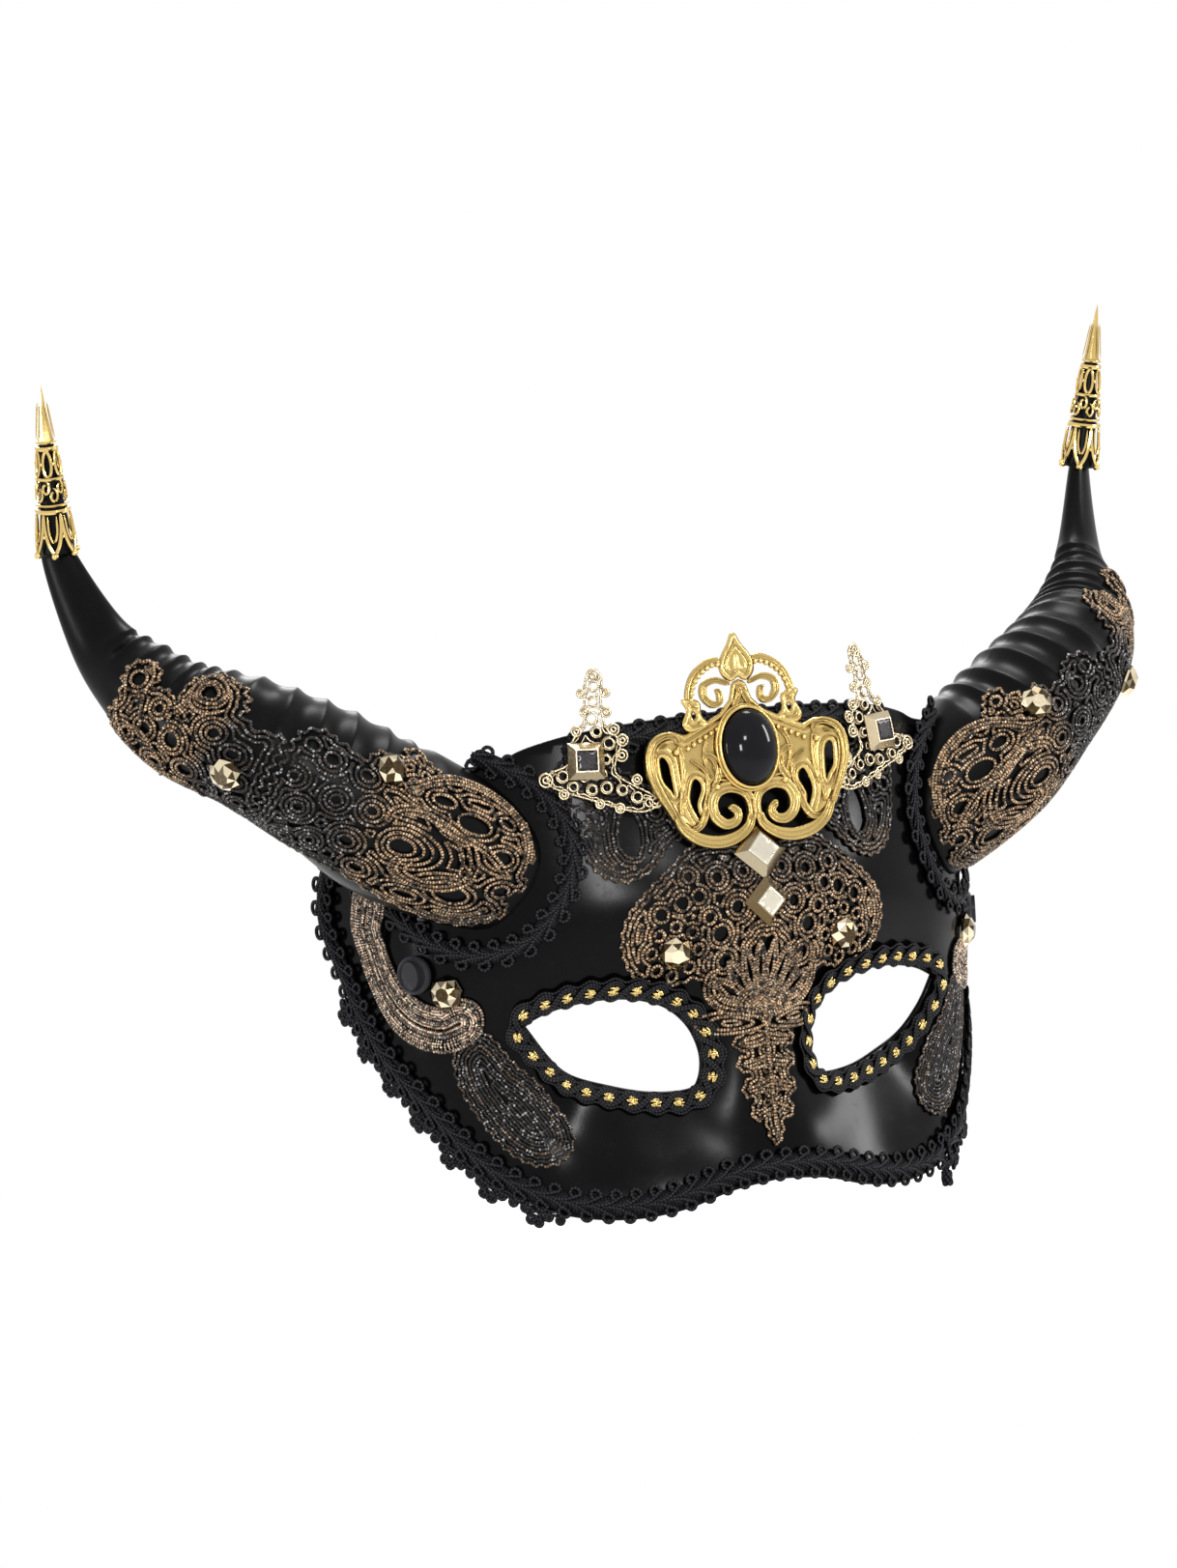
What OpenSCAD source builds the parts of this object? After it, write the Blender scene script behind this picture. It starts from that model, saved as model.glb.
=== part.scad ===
// Horned masquerade half mask: a moulded face shell with two hollow bull horns,
// dressed with lace, gimp braid, studs, a filigree crown and filigree horn caps.
// Millimetres. +X is the right of someone facing the mask, -Y is the front, +Z is up.
// The origin is on the bridge of the nose, between the eyes.
// Places on the face are given as [bearing, height]: degrees round from the nose, and z.

/* [Face shell] */
// Half the width of the face across the temples
half_width = 86; // [70:1:105]
// Depth from the brow back to the temples
face_depth = 54; // [44:1:66]
// Thickness of the moulded shell
shell_wall = 1.6; // [1.2:0.1:2.4]
// Height of the top edge above the eye line
top_height = 79.5; // [66:0.5:96]
// Drop of the cheeks below the eye line
cheek_drop = 46.5; // [39:0.5:56]
// Depth of the eye sockets
socket_depth = 8; // [6:0.5:10]
// Width of one eye hole
eye_width = 45.7; // [38:0.1:50]
// Height of one eye hole
eye_height = 25.9; // [21.5:0.1:31.5]
// Distance from the nose line to the inner corner of an eye
eye_inset = 15.8; // [14:0.1:19]

/* [Horns] */
// Radius of a horn where it leaves the face
horn_root_r = 24.5; // [20:0.5:25.5]
// Thickness of the horn wall
horn_wall = 1.6; // [1.2:0.1:2.2]
// Depth of the ribs on the upper side of a horn
rib_depth = 0.9; // [0.4:0.1:1.4]
// Number of ribs on a horn
rib_count = 13; // [8:1:15]

/* [Horn caps] */
// Outside radius of a cap at its open end
cap_r = 5.3; // [4.4:0.1:6.4]
// Length of a cap
cap_length = 44; // [36:1:54]
// Thickness of the cap metal
cap_wall = 0.5; // [0.4:0.1:0.7]

/* [Studs] */
// Diameter of a round faceted stud
stud_d = 9; // [7.5:0.1:11]
// Height of a round faceted stud
stud_h = 3; // [2.4:0.1:3.6]
// Side of the upper diamond stud
upper_diamond = 10.8; // [9:0.1:11.4]
// Side of the lower diamond stud
lower_diamond = 9.4; // [7.8:0.1:10]
// Side of a corner stud
corner_stud_side = 9.4; // [7.8:0.1:11.4]
// Height of a diamond or corner stud
pyramid_h = 2.6; // [2:0.1:3.2]

/* [Crown] */
// Thickness of the stamped crown and corner pieces
plate_t = 0.8; // [0.6:0.1:1.2]
// Width of the cabochon
stone_w = 15.6; // [13:0.1:18.8]
// Height of the cabochon
stone_h = 19.6; // [16.3:0.1:23.6]
// How far the cabochon stands out of its cup
stone_rise = 4.6; // [3.8:0.1:5.6]

/* [Lace and braid] */
// Thickness of the lace
lace_t = 0.5; // [0.4:0.1:0.7]
// Width of the gimp braid round the edge and the horns
braid_w = 8; // [6.6:0.1:8.6]
// Width of the beaded braid round the eyes
eye_braid_w = 6.4; // [5.3:0.1:7]
// Thickness of both braids
braid_t = 1.7; // [1.4:0.1:2.1]

/* [Tie buttons] */
// Diameter of a tie button
button_d = 10; // [8.3:0.1:11]
// Radius of the post that the tie loops over
post_r = 1.5; // [1.2:0.1:1.8]
// Free length of the post inside the mask
post_length = 4; // [3.2:0.1:5]

/* [Hidden] */

// Seat gaps: lace lies just off the shell, braid and studs just off the lace
seat = 0.2;
lace_lo = seat;
lace_hi = lace_lo + lace_t;
trim_lo = lace_hi + 0.1;
trim_hi = trim_lo + braid_t;
plate_lo = trim_hi + seat;
$fn = 32;

// ---------- small functions ----------

function unit(v) = v / norm(v);
function bump(t) = exp(-t * t);
function clamp(v, lo, hi) = min(max(v, lo), hi);
function ease(t) = let (c = clamp(t, 0, 1)) c * c * (3 - 2 * c);

// Point at k on a smooth curve through points p; k runs from 0 to its last index
function spline(p, k) =
    let (n = len(p) - 1, i = clamp(floor(k), 0, n - 1), f = k - i,
         a = i > 0 ? p[i - 1] : 2 * p[0] - p[1],
         b = p[i], c = p[i + 1],
         d = i < n - 1 ? p[i + 2] : 2 * p[n] - p[n - 1])
    0.5 * (2 * b + (c - a) * f + (2 * a - 5 * b + 4 * c - d) * f * f
           + (3 * b - a - 3 * c + d) * f * f * f);

// The same on a closed curve, where k wraps round
function ring_spline(p, k) =
    let (n = len(p), i = floor(k), f = k - i,
         a = p[(i - 1 + 2 * n) % n], b = p[(i + 2 * n) % n],
         c = p[(i + 1 + 2 * n) % n], d = p[(i + 2 + 2 * n) % n])
    0.5 * (2 * b + (c - a) * f + (2 * a - 5 * b + 4 * c - d) * f * f
           + (3 * b - a - 3 * c + d) * f * f * f);

// ---------- the face surface ----------

straight_from = 80;
socket_x = eye_inset + eye_width * 0.4;
nose_rise = 4.5;
brow_swell = 4;
crown_bend = 45;

function face_x(b, z) =
    let (a = min(abs(b), straight_from), e = max(abs(b) - straight_from, 0) * PI / 180)
    sign(b) * (half_width - 0.14 * max(-z, 0)) * (sin(a) + cos(a) * e);

function face_y(b, z) =
    let (a = min(abs(b), straight_from), e = max(abs(b) - straight_from, 0) * PI / 180,
         x = face_x(b, z))
    -2.5 + nose_rise / (1 + exp((z - 12) / 4)) - 2 * bump((z + 44) / 9)
    - brow_swell * bump((z - 33) / 16) * bump(x / 45)
    + 0.0012 * pow(max(z - crown_bend, 0), 2)
    + face_depth * (1 - cos(a) + 1.25 * sin(a) * e)
    + socket_depth * exp(-pow((abs(x) - socket_x) / 22, 4)) * bump((z + 8) / 20);

function face_at(b, z) = [face_x(b, z), face_y(b, z), z];
function face_normal(b, z) = unit(cross(face_at(b + 0.3, z) - face_at(b - 0.3, z),
                                        face_at(b, z + 0.3) - face_at(b, z - 0.3)));
// Point at height h above the face
function face(b, z, h) = face_at(b, z) + h * face_normal(b, z);

// Bearing of a given x on the front of the face
function bearing(x, z) = asin(x / (half_width - 0.14 * max(-z, 0)));

// Puts its children on the face: their +Z points out, their +Y up
module on_face(b, z, h) {
    n = face_normal(b, z);
    side = unit(cross([0, 0, 1], n));
    up = cross(n, side);
    p = face(b, z, h);
    multmatrix([[side.x, up.x, n.x, p.x], [side.y, up.y, n.y, p.y], [side.z, up.z, n.z, p.z]])
        children();
}

// ---------- solids laid on a surface ----------

// Closed solid between heights lo and hi of a surface; place(u, v, h) gives a point
module slab(place, nu, nv, lo, hi) {
    step = nv + 1;
    layer = (nu + 1) * step;
    points = [for (h = [lo, hi]) for (i = [0:nu]) for (j = [0:nv]) place(i / nu, j / nv, h)];
    skin = [for (i = [0:nu - 1]) for (j = [0:nv - 1])
        let (a = i * step + j, b = a + step, c = b + 1, d = a + 1)
        each [[a, b, c], [a, c, d], [a + layer, c + layer, b + layer], [a + layer, d + layer, c + layer]]];
    rim = concat([for (i = [0:nu]) i * step], [for (j = [1:nv]) nu * step + j],
                 [for (i = [nu - 1:-1:0]) i * step + nv], [for (j = [nv - 1:-1:1]) j]);
    wall = [for (k = [0:len(rim) - 1])
        let (a = rim[k], b = rim[(k + 1) % len(rim)])
        each [[a, a + layer, b + layer], [a, b + layer, b]]];
    polyhedron(points, concat(skin, wall), convexity = 10);
}

// Step of w millimetres square across a path on the face, as a change of [bearing, z]
function across(p, q, w) =
    let (m = (p + q) / 2, t = q - p,
         su = (face_at(m[0] + 0.3, m[1]) - face_at(m[0] - 0.3, m[1])) / 0.6,
         sv = (face_at(m[0], m[1] + 0.3) - face_at(m[0], m[1] - 0.3)) / 0.6,
         l = [-(su * sv * t[0] + sv * sv * t[1]), su * su * t[0] + su * sv * t[1]])
    l * w / norm(su * l[0] + sv * l[1]);

// Ribbon of width w(u) along a path on the face, as a place function for slab
function ribbon(path, w) = function(u, v, h)
    let (p = path(u), l = across(path(u - 0.004), path(u + 0.004), w(u) * (v - 0.5)))
    face(p[0] + l[0], p[1] + l[1], h);

// ---------- face shell ----------

wing_end = 103;
nose_lift = 6;
edge_top = [[0, 0], [16, -0.5], [30, -2], [40, -4.5], [46, -7], [60, -8.5], [75, -11],
            [88, -15.5], [97, -24], [102, -36], [wing_end, -43]];
edge_bottom = [[0, nose_lift], [10, 4.5], [20, 1], [31, 0], [43, 2.5], [53, 8], [62, 16.5],
               [72, 30], [82, 43], [91, 56], [99, 69], [wing_end, 81]];
function smooth_edge(list) =
    let (n = len(list) - 1)
    [for (k = [0:0.25:n]) let (p = spline(list, k)) [p[0] * 1.000001 + k * 0.000001, p[1]]];
smooth_top = smooth_edge(edge_top);
smooth_bottom = smooth_edge(edge_bottom);
function top_z(b) = top_height + lookup(abs(b), smooth_top);
function bottom_z(b) = -cheek_drop + lookup(abs(b), smooth_bottom);

// Outline of one eye hole, from its outer corner: shares of the eye's width and height
eye_outline = [[1, 0.84], [0.85, 0.945], [0.66, 1], [0.48, 1], [0.31, 0.945], [0.16, 0.83],
               [0.05, 0.63], [0, 0.36], [0.02, 0.11], [0.09, 0], [0.31, 0.02], [0.53, 0.13],
               [0.73, 0.28], [0.87, 0.52], [1, 0.84]];
eye_floor = -16.3;
function eye_xz(k) =
    let (p = spline(eye_outline, k * (len(eye_outline) - 1)))
    [eye_inset + eye_width * p[0], eye_floor + eye_height * p[1]];

module eye_cutter() {
    rotate([90, 0, 0]) translate([0, 0, -80]) linear_extrude(120)
        polygon([for (i = [0:51]) eye_xz(i / 52)]);
}

module face_shell() color("#101012") resize([0, 0, 0]) difference() {
    place = function(u, v, h) let (b = wing_end * (2 * u - 1), lo = bottom_z(b))
        face(b, lo + (top_z(b) - lo) * v, h);
    slab(place, 58, 20, -shell_wall, 0);
    for (s = [0, 1]) mirror([s, 0, 0]) {
        eye_cutter();
        on_face(button_b, button_z, -5) cylinder(h = 10, r = stem_r + 0.25, $fn = 16);
    }
}

// ---------- horns ----------

// Centre line of a horn from the face to inside the cap, as [x, y, z, radius share];
// x and y are measured from the temples, so the horns follow the face
root = [half_width, face_depth];
horn_line = [[-24, -24, 50, 1], [1, -27, 61, 0.86], [18, -26, 73.5, 0.775], [34, -20.5, 84.5, 0.69],
             [46.5, -9, 92.5, 0.61], [55, 0, 103, 0.49], [61, 9, 115, 0.335],
             [67.5, 15, 138, 0.184], [68.6, 12.2, 149, 0.1]];
tip_point = [72, 4, 180.5];

function horn_data(t) = spline(horn_line, t * (len(horn_line) - 1));
function horn_centre(t) = let (d = horn_data(t)) [root[0] + d[0], root[1] + d[1], d[2]];
function horn_axis(t) = unit(horn_centre(min(t + 0.004, 1)) - horn_centre(max(t - 0.004, 0)));

// Foot of a horn on the face, from its inner side over the top: [bearing, z]
foot_ring = [[39.5, 48], [41.5, 58], [48, 66], [59, 68.5], [72, 66], [85, 61.5],
             [93, 57], [88, 54], [77, 45.5], [64, 35], [52, 31], [43.5, 38]];
// The right horn stands a little further out than the left one
right_shift = 5;
function foot_at(a, shift) =
    let (p = ring_spline(foot_ring, a / 30 + 12)) [p[0] + shift * (93 - p[0]) / 54, p[1]];

// Point at angle a round a horn: 0 is the front, 90 the top; h is the height off its skin
blend_end = 0.15;
function horn(t, a, h, shift) =
    let (d = horn_data(t), c = horn_centre(t), axis = horn_axis(t),
         front = unit([0.75 * t, 0.3 * t - 1, 0] - axis * (axis * [0.75 * t, 0.3 * t - 1, 0])),
         up = cross(front, axis),
         flat = 1 - 0.45 * ease((t - 0.45) / 0.45),
         rib = rib_depth * rib_wave(t) * ease((sin(a) + 0.1) / 0.5),
         dir = cos(a) * flat * front + sin(a) * up,
         tube = c + (horn_root_r * d[3] - rib) * dir + h * unit(dir),
         f = foot_at(a, shift),
         foot = face(f[0], f[1], seat) + h * unit(face(f[0], f[1], 0) - face(66, 50, 0)),
         k = ease(t / blend_end))
    foot * (1 - k) + tube * k;
// Outward normal of a horn's skin
function horn_normal(t, a, shift) =
    unit(cross(horn(t + 0.01, a, 0, shift) - horn(t - 0.01, a, 0, shift),
               horn(t, a + 2, 0, shift) - horn(t, a - 2, 0, shift)));

rib_start = 0.12;
rib_end = 0.72;
rib_pitch = (rib_end - rib_start) / rib_count;
function rib_wave(t) = t < rib_start || t > rib_end ? 0
    : 0.5 - 0.5 * cos(360 * (t - rib_start) / rib_pitch);
// Rings along the horn: close at the foot, then at each crest and valley of the ribs
horn_steps = concat([0, 0.03, 0.06, 0.09], [for (k = [0:2 * rib_count]) rib_start + k * rib_pitch / 2],
                    [0.77, 0.82, 0.86, 0.9, 0.95, 1]);

// Wall of a horn: thin at its foot, and a quarter of the radius near its tip
foot_wall = 0.35;
function wall_at(t) = min(horn_wall, 0.25 * horn_root_r * horn_data(t)[3])
    * (foot_wall + (1 - foot_wall) * ease(t / 0.1));

// One half of a horn: a wall swept along the centre line, from angle a0 through 180 degrees
module horn_half(a0, shift) {
    m = 7;
    arc = [for (j = [0:m]) a0 + 180 * j / m];
    ring = concat([for (a = arc) [a, 0]], [for (j = [m:-1:0]) [arc[j], 1]]);
    n = len(ring);
    points = [for (t = horn_steps) for (c = ring)
        horn(t, c[0], 0, shift) - c[1] * wall_at(t) * horn_normal(t, c[0], shift)];
    last = len(horn_steps) - 1;
    side = [for (i = [0:last - 1]) for (k = [0:n - 1])
        let (a = n * i + k, b = n * i + (k + 1) % n, c = b + n, d = a + n)
        each [[a, b, c], [a, c, d]]];
    ends = [for (j = [0:m - 1]) for (e = [0, 1])
        let (o = e * n * last, a = o + j, b = o + j + 1, c = o + n - 2 - j, d = o + n - 1 - j)
        each (e == 0 ? [[a, c, b], [a, d, c]] : [[a, b, c], [a, c, d]])];
    polyhedron(points, concat(side, ends), convexity = 10);
}

module horn_front(shift) color("#141416") horn_half(-90, shift);
module horn_back(shift) color("#0e0e10") horn_half(90, shift);

// Thin cone with a rolled lip, closed over its solid tip
module horn_cap() color("#c9a24a") {
    foot = horn_centre(0.875);
    tip = foot + cap_length * unit([root[0], root[1], 0] + tip_point - foot);
    d = unit(tip - foot);
    side = unit(cross([0, 1, 0], d));
    up = cross(d, side);
    multmatrix([[side.x, up.x, d.x, foot.x], [side.y, up.y, d.y, foot.y], [side.z, up.z, d.z, foot.z]])
        rotate_extrude($fn = 40) polygon([
            [cap_r - cap_wall, 0], [cap_r + 0.3, 0], [cap_r + 0.3, 0.8], [cap_r, 1.2],
            [0.9, cap_length - 1.2], [0.5, cap_length - 0.3], [0, cap_length],
            [0, cap_length * 0.72], [cap_r * 0.2, cap_length * 0.68]]);
}

// ---------- crown and corner filigrees ----------

crown_z = 70;
crown_tilt = atan(0.036);
crown_back = face_y(0, 79) - plate_lo - 0.3 + 0.036 * (crown_z - 79);

// Stands its children up on the crown's plane: +Z is out of the face, +Y is up
module on_crown(h) translate([0, crown_back, crown_z])
    rotate([90 - crown_tilt, 0, 0]) translate([0, 0, h]) children();

module ring_2d(p, ro, ri) translate(p) difference() {
    circle(ro);
    circle(ri);
}
function oval(w, h, n = 36) = [for (i = [0:n - 1]) [w / 2 * cos(360 * i / n), h / 2 * sin(360 * i / n)]];

module crown_half() {
    // Spade at the top, and the slope down to the wing
    polygon([[0, 30.2], [-2.4, 26.8], [-3.9, 23], [-3, 19.8], [-1.4, 18.6], [0, 17]]);
    polygon([[0, 19], [-2.2, 14], [-8, 9.4], [-14, 6.2], [-21, 4], [-20, 0.5], [-11, -1], [0, -8]]);
    // Scroll and beaded arc beside the spade
    ring_2d([-7.4, 14.2], 4.7, 2.9);
    difference() {
        ring_2d([-9.2, 14.6], 9, 7.4);
        translate([-20, -1]) square([24, 10.5]);
        translate([-6, 6]) square([12, 12]);
    }
    // Leaf bud
    polygon([[-16, 15], [-18.4, 11], [-17.4, 7], [-15, 4.4], [-12.8, 8], [-13.6, 12]]);
    // Wing lobe with its two drops
    difference() {
        polygon([for (k = [0:0.5:11]) spline([[-17, 3], [-21, 4], [-25.5, 6.6], [-28.6, 3.6], [-28.8, -2],
            [-26.8, -9], [-24, -17], [-21, -15], [-17, -19], [-12, -14], [-9, -8], [-12, -1]], k)]);
        polygon([for (k = [0:0.5:4]) spline([[-25.4, 1.6], [-26.6, -2], [-24, -9.5], [-23, -5], [-25.4, 1.6]], k)]);
        polygon([for (k = [0:0.5:4]) spline([[-17.6, -4], [-19, -8], [-17, -15], [-15, -9], [-17.6, -4]], k)]);
    }
    // Great scroll at the foot
    ring_2d([-9.6, -15.2], 8.6, 5.6);
    ring_2d([-7, -14], 4, 1.6);
    translate([-2, -19]) square([2, 9]);
}

module crown_plate() color("#d3a83f") on_crown(0) linear_extrude(plate_t)
    for (s = [0, 1]) mirror([s, 0, 0]) crown_half();

cup_wall = 0.8;
cup_depth = 1.6;
module cabochon_cup() color("#b98f34") on_crown(plate_t) {
    linear_extrude(0.4) polygon(oval(stone_w + 2 * cup_wall, stone_h + 2 * cup_wall));
    linear_extrude(cup_depth) difference() {
        polygon(oval(stone_w + 2 * cup_wall, stone_h + 2 * cup_wall));
        polygon(oval(stone_w + 0.2, stone_h + 0.2));
    }
}

module cabochon() color("#0a0a0c") on_crown(plate_t + 0.4) {
    rings = [for (i = [0:6]) let (a = 15 * i) [cos(a), sin(a)]];
    place = function(u, k, h) [stone_w / 2 * cos(360 * u) * rings[k][0],
                               stone_h / 2 * sin(360 * u) * rings[k][0], cup_depth - 0.4 + stone_rise * rings[k][1]];
    n = 32;
    points = concat([for (i = [0:n - 1]) [place(i / n, 0, 0).x, place(i / n, 0, 0).y, 0]],
                    [for (k = [0:5]) for (i = [0:n - 1]) place(i / n, k, 0)], [place(0, 6, 0)]);
    faces = concat([[for (i = [0:n - 1]) i]],
        [for (k = [0:5]) for (i = [0:n - 1]) let (a = n * k + i, b = n * k + (i + 1) % n)
            each [[a, b + n, b], [a, a + n, b + n]]],
        [for (i = [0:n - 1]) [6 * n + i, 7 * n, 6 * n + (i + 1) % n]]);
    polyhedron(points, faces);
}

corner_b = 27;
corner_z = 70;
// Lacy corner piece: one arm stands above the top edge, one runs in towards the crown
corner_rings = [[-1.4, 22.2, 2.2], [14.2, -3, 2.2], [-13.8, -11.2, 2], [-6.4, 1.2, 1.9],
                [-7.4, 4.8, 1.9], [-5.6, 7.6, 1.9]];
corner_holes = [[-1.3, 17.8], [-0.9, 13.4], [0.8, 8.6], [9.6, -3], [7, -5.2], [-3.2, 5.4],
                [-1.6, -7.6], [-6.6, -8.6], [-10, -11]];
module corner_filigree() color("#cdbb92") on_face(corner_b, corner_z, plate_lo) linear_extrude(plate_t)
    difference() {
        union() {
            polygon([[-3, 10], [-6.4, 4.4], [-4.4, -3.2], [-13.4, -9.8], [-13.6, -12.6], [-9, -13.4], [3, -9],
                     [13.4, -4.6], [12.6, -1.6], [7, 0], [5.6, 6.5], [1.4, 12], [0.4, 21], [-3.2, 21]]);
            for (c = corner_rings) translate([c[0], c[1]]) circle(c[2]);
        }
        for (c = corner_rings) translate([c[0], c[1]]) circle(c[2] - 1.1);
        for (p = corner_holes) translate(p) circle(0.9);
    }

// Flat-topped square stud
module pyramid_stud(side, h, turn) rotate([0, 0, turn]) {
    b = side / 2;
    t = side * 0.31;
    polyhedron([for (q = [[b, 0], [b, 0.5], [t, h]]) for (c = [[-1, -1], [1, -1], [1, 1], [-1, 1]])
                    [c[0] * q[0], c[1] * q[0], q[1]]],
               concat([[0, 1, 2, 3], [11, 10, 9, 8]],
                      [for (k = [0, 4]) for (i = [0:3])
                          [k + i, k + i + 4, k + (i + 1) % 4 + 4, k + (i + 1) % 4]]));
}

// Round stud cut with a ring of facets and a flat table
module round_stud() {
    n = 8;
    r = stud_d / 2;
    rows = [[r, 0, 0], [r, 0.6, 0], [r * 0.8, stud_h * 0.62, 0.5], [r * 0.42, stud_h, 0]];
    points = [for (q = rows) for (i = [0:n - 1]) let (a = 360 * (i + q[2]) / n)
        [q[0] * cos(a), q[0] * sin(a), q[1]]];
    polyhedron(points, concat([[for (i = [0:n - 1]) i]], [[for (i = [0:n - 1]) 4 * n - 1 - i]],
        [for (i = [0:n - 1]) [i, i + n, (i + 1) % n + n, (i + 1) % n]],
        [for (i = [0:n - 1]) let (j = (i + 1) % n)
            each [[n + i, 2 * n + i, n + j], [2 * n + i, 2 * n + j, n + j],
                  [2 * n + i, 3 * n + i, 3 * n + j], [2 * n + i, 3 * n + j, 2 * n + j]]]));
}

module corner_stud() color("#8f8570") on_face(corner_b, corner_z, plate_lo + plate_t)
    translate([3, 0.6, 0]) pyramid_stud(corner_stud_side, pyramid_h, 4);
upper_diamond_z = 43;
lower_diamond_z = 30.5;
module upper_diamond_stud() color("#d9cfa8") on_face(0, upper_diamond_z, trim_lo)
    pyramid_stud(upper_diamond, pyramid_h, 45);
module lower_diamond_stud() color("#d9cfa8") on_face(0, lower_diamond_z, trim_lo)
    pyramid_stud(lower_diamond, pyramid_h, 45);
module forehead_stud() color("#c8a850") on_face(16.5, 20, trim_lo) round_stud();
module temple_stud() color("#c8a850") on_face(62.5, 15.8, trim_lo) round_stud();

// Puts its children on a horn: their +Z points out of its skin
module on_horn(t, a, h, shift) {
    p = horn(t, a, h, shift);
    n = horn_normal(t, a, shift);
    side = unit(cross([0, 0, 1], n));
    up = cross(n, side);
    multmatrix([[side.x, up.x, n.x, p.x], [side.y, up.y, n.y, p.y], [side.z, up.z, n.z, p.z]])
        children();
}
inner_stud = [0.2, 22];
outer_stud = [0.385, -38];
module horn_studs(shift) color("#c8a850") for (s = [inner_stud, outer_stud])
    on_horn(s[0], s[1], trim_lo + 0.35, shift) round_stud();

// ---------- tie buttons ----------

button_b = 71;
button_z = 21;
stem_r = post_r + 0.7;
// Button on the temple, its stem through the shell and a post inside for the tie
module tie_button() color("#17171a") on_face(button_b, button_z, trim_lo) {
    rotate_extrude($fn = 40) polygon([
        [0, 0], [button_d / 2, 0], [button_d / 2, 1], [button_d / 2 - 0.8, 1.6],
        [button_d / 2 - 1.6, 1.2], [0, 1.2]]);
    translate([0, 0, 1.2]) linear_extrude(1.4) polygon(oval(5, 7.4, 24));
    inside = -trim_lo - shell_wall - 0.25;
    translate([0, 0, inside]) cylinder(h = -inside, r = stem_r, $fn = 32);
    translate([0, 0, inside - post_length]) cylinder(h = post_length, r = post_r, $fn = 32);
}

// ---------- braid, edging and lace ----------

rim_inset = 3;
// Middle of the edge braid, a set distance inside the lower edge
function rim_at(b, inset) =
    let (q = across([b - 0.5, bottom_z(b - 0.5)], [b + 0.5, bottom_z(b + 0.5)], inset))
    [b + q[0], bottom_z(b) + q[1]];

top_braid_end = 33;
module top_braid() color("#0b0b0c") {
    path = function(u) let (b = top_braid_end * (2 * u - 1)) [b, top_z(b) - rim_inset];
    slab(ribbon(path, function(u) braid_w), 20, 1, trim_lo, trim_hi);
}
// Run of the braid from the top of the wing round its end and down to bearing b
wing_z = (top_z(wing_end) + bottom_z(wing_end)) / 2;
function wing_run(b) = concat([[97, wing_z + 16], [100.2, wing_z + 8.5], [100.2, wing_z - 1.5]],
    [for (k = [94:-6:b]) rim_at(k, rim_inset)], [rim_at(b, rim_inset)]);
module edge_braid(run, n) color("#0b0b0c") {
    path = function(u) spline(run, u * (len(run) - 1));
    slab(ribbon(path, function(u) braid_w), n, 1, trim_lo, trim_hi);
}
braid_join = 46;
module lower_braid() {
    wing = [for (p = wing_run(2)) [-p[0], p[1]]];
    edge_braid(concat(wing, [for (b = [4:6:braid_join - 4]) rim_at(b, rim_inset)],
                      [rim_at(braid_join - 0.4, rim_inset)]), 72);
}
module right_side_braid() {
    run = wing_run(braid_join + 0.4);
    edge_braid([for (k = [len(run) - 1:-1:0]) run[k]], 30);
}

// Rolled end of the edge braid
module trim_end() color("#0b0b0c") {
    p = face(braid_join - 2, bottom_z(braid_join - 2) - 1.6, trim_lo + braid_t / 2);
    translate([p.x, p.y, p.z - 5]) cylinder(h = 4.4, r = 1.7, $fn = 24);
}

// Gimp round the foot of a horn, open where the horn runs back over the temple
horn_ring_path = [[46.5, 71], [40.5, 67.5], [36, 60.5], [33.6, 52], [34, 43.5], [38, 33.5], [45, 26],
                  [55, 24.4], [65.5, 28.6], [76.5, 37.2], [83, 42.5], [89, 46.5]];
module horn_braid(shift) color("#0b0b0c") {
    path = function(u) let (p = spline(horn_ring_path, u * (len(horn_ring_path) - 1)))
        [p[0] + shift * (93 - p[0]) / 54, p[1]];
    slab(ribbon(path, function(u) braid_w * 0.9), 34, 1, trim_lo, trim_hi);
}

module picot_edging() color("#09090a") {
    path = function(u) rim_at(44 + 53 * u, -1.4);
    slab(ribbon(path, function(u) 5.4), 30, 1, lace_lo, lace_hi);
}

module eye_braid() color("#0d0d0e") {
    mid = function(k) let (p = eye_xz(k - floor(k))) [bearing(p[0], p[1]), p[1]];
    place = function(u, v, h)
        let (k = 0.01 + 0.98 * u, p = mid(k),
             l = across(mid(k - 0.01), mid(k + 0.01), -0.3 - eye_braid_w * (1 - v)))
        face(p[0] + l[0], p[1] + l[1], h);
    slab(place, 44, 1, trim_lo, trim_hi);
}

// Half width of the centre lace in degrees of bearing, at each height
lace_profile = [[-33, 0.6], [-28, 3.4], [-20, 5.2], [-12, 6], [-6, 7.6], [0, 8.4], [8, 9], [12, 12],
                [15, 20], [19, 25], [28, 26.4], [34, 25.8], [39, 23], [43, 19], [46, 13]];
module centre_lace() color("#6b5138") {
    place = function(u, v, h) let (z = -33 + 79 * v) face((2 * u - 1) * lookup(z, lace_profile), z, h);
    slab(place, 12, 26, lace_lo, lace_hi);
}

forehead_low = [[14, 49.5], [18, 47.5], [22, 46], [25, 43], [28, 40], [31, 39.5], [35, 46], [39, 57]];
forehead_high = [[14, 54], [20, 61], [26, 68], [31, 72.5], [35, 75], [39, 74]];
module forehead_lace() color("#1c1815") {
    place = function(u, v, h)
        let (b = 14 + 25 * u, lo = lookup(b, forehead_low), hi = lookup(b, forehead_high))
        face(b, lo + (hi - lo) * v, h);
    slab(place, 12, 6, lace_lo, lace_hi);
}

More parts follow.
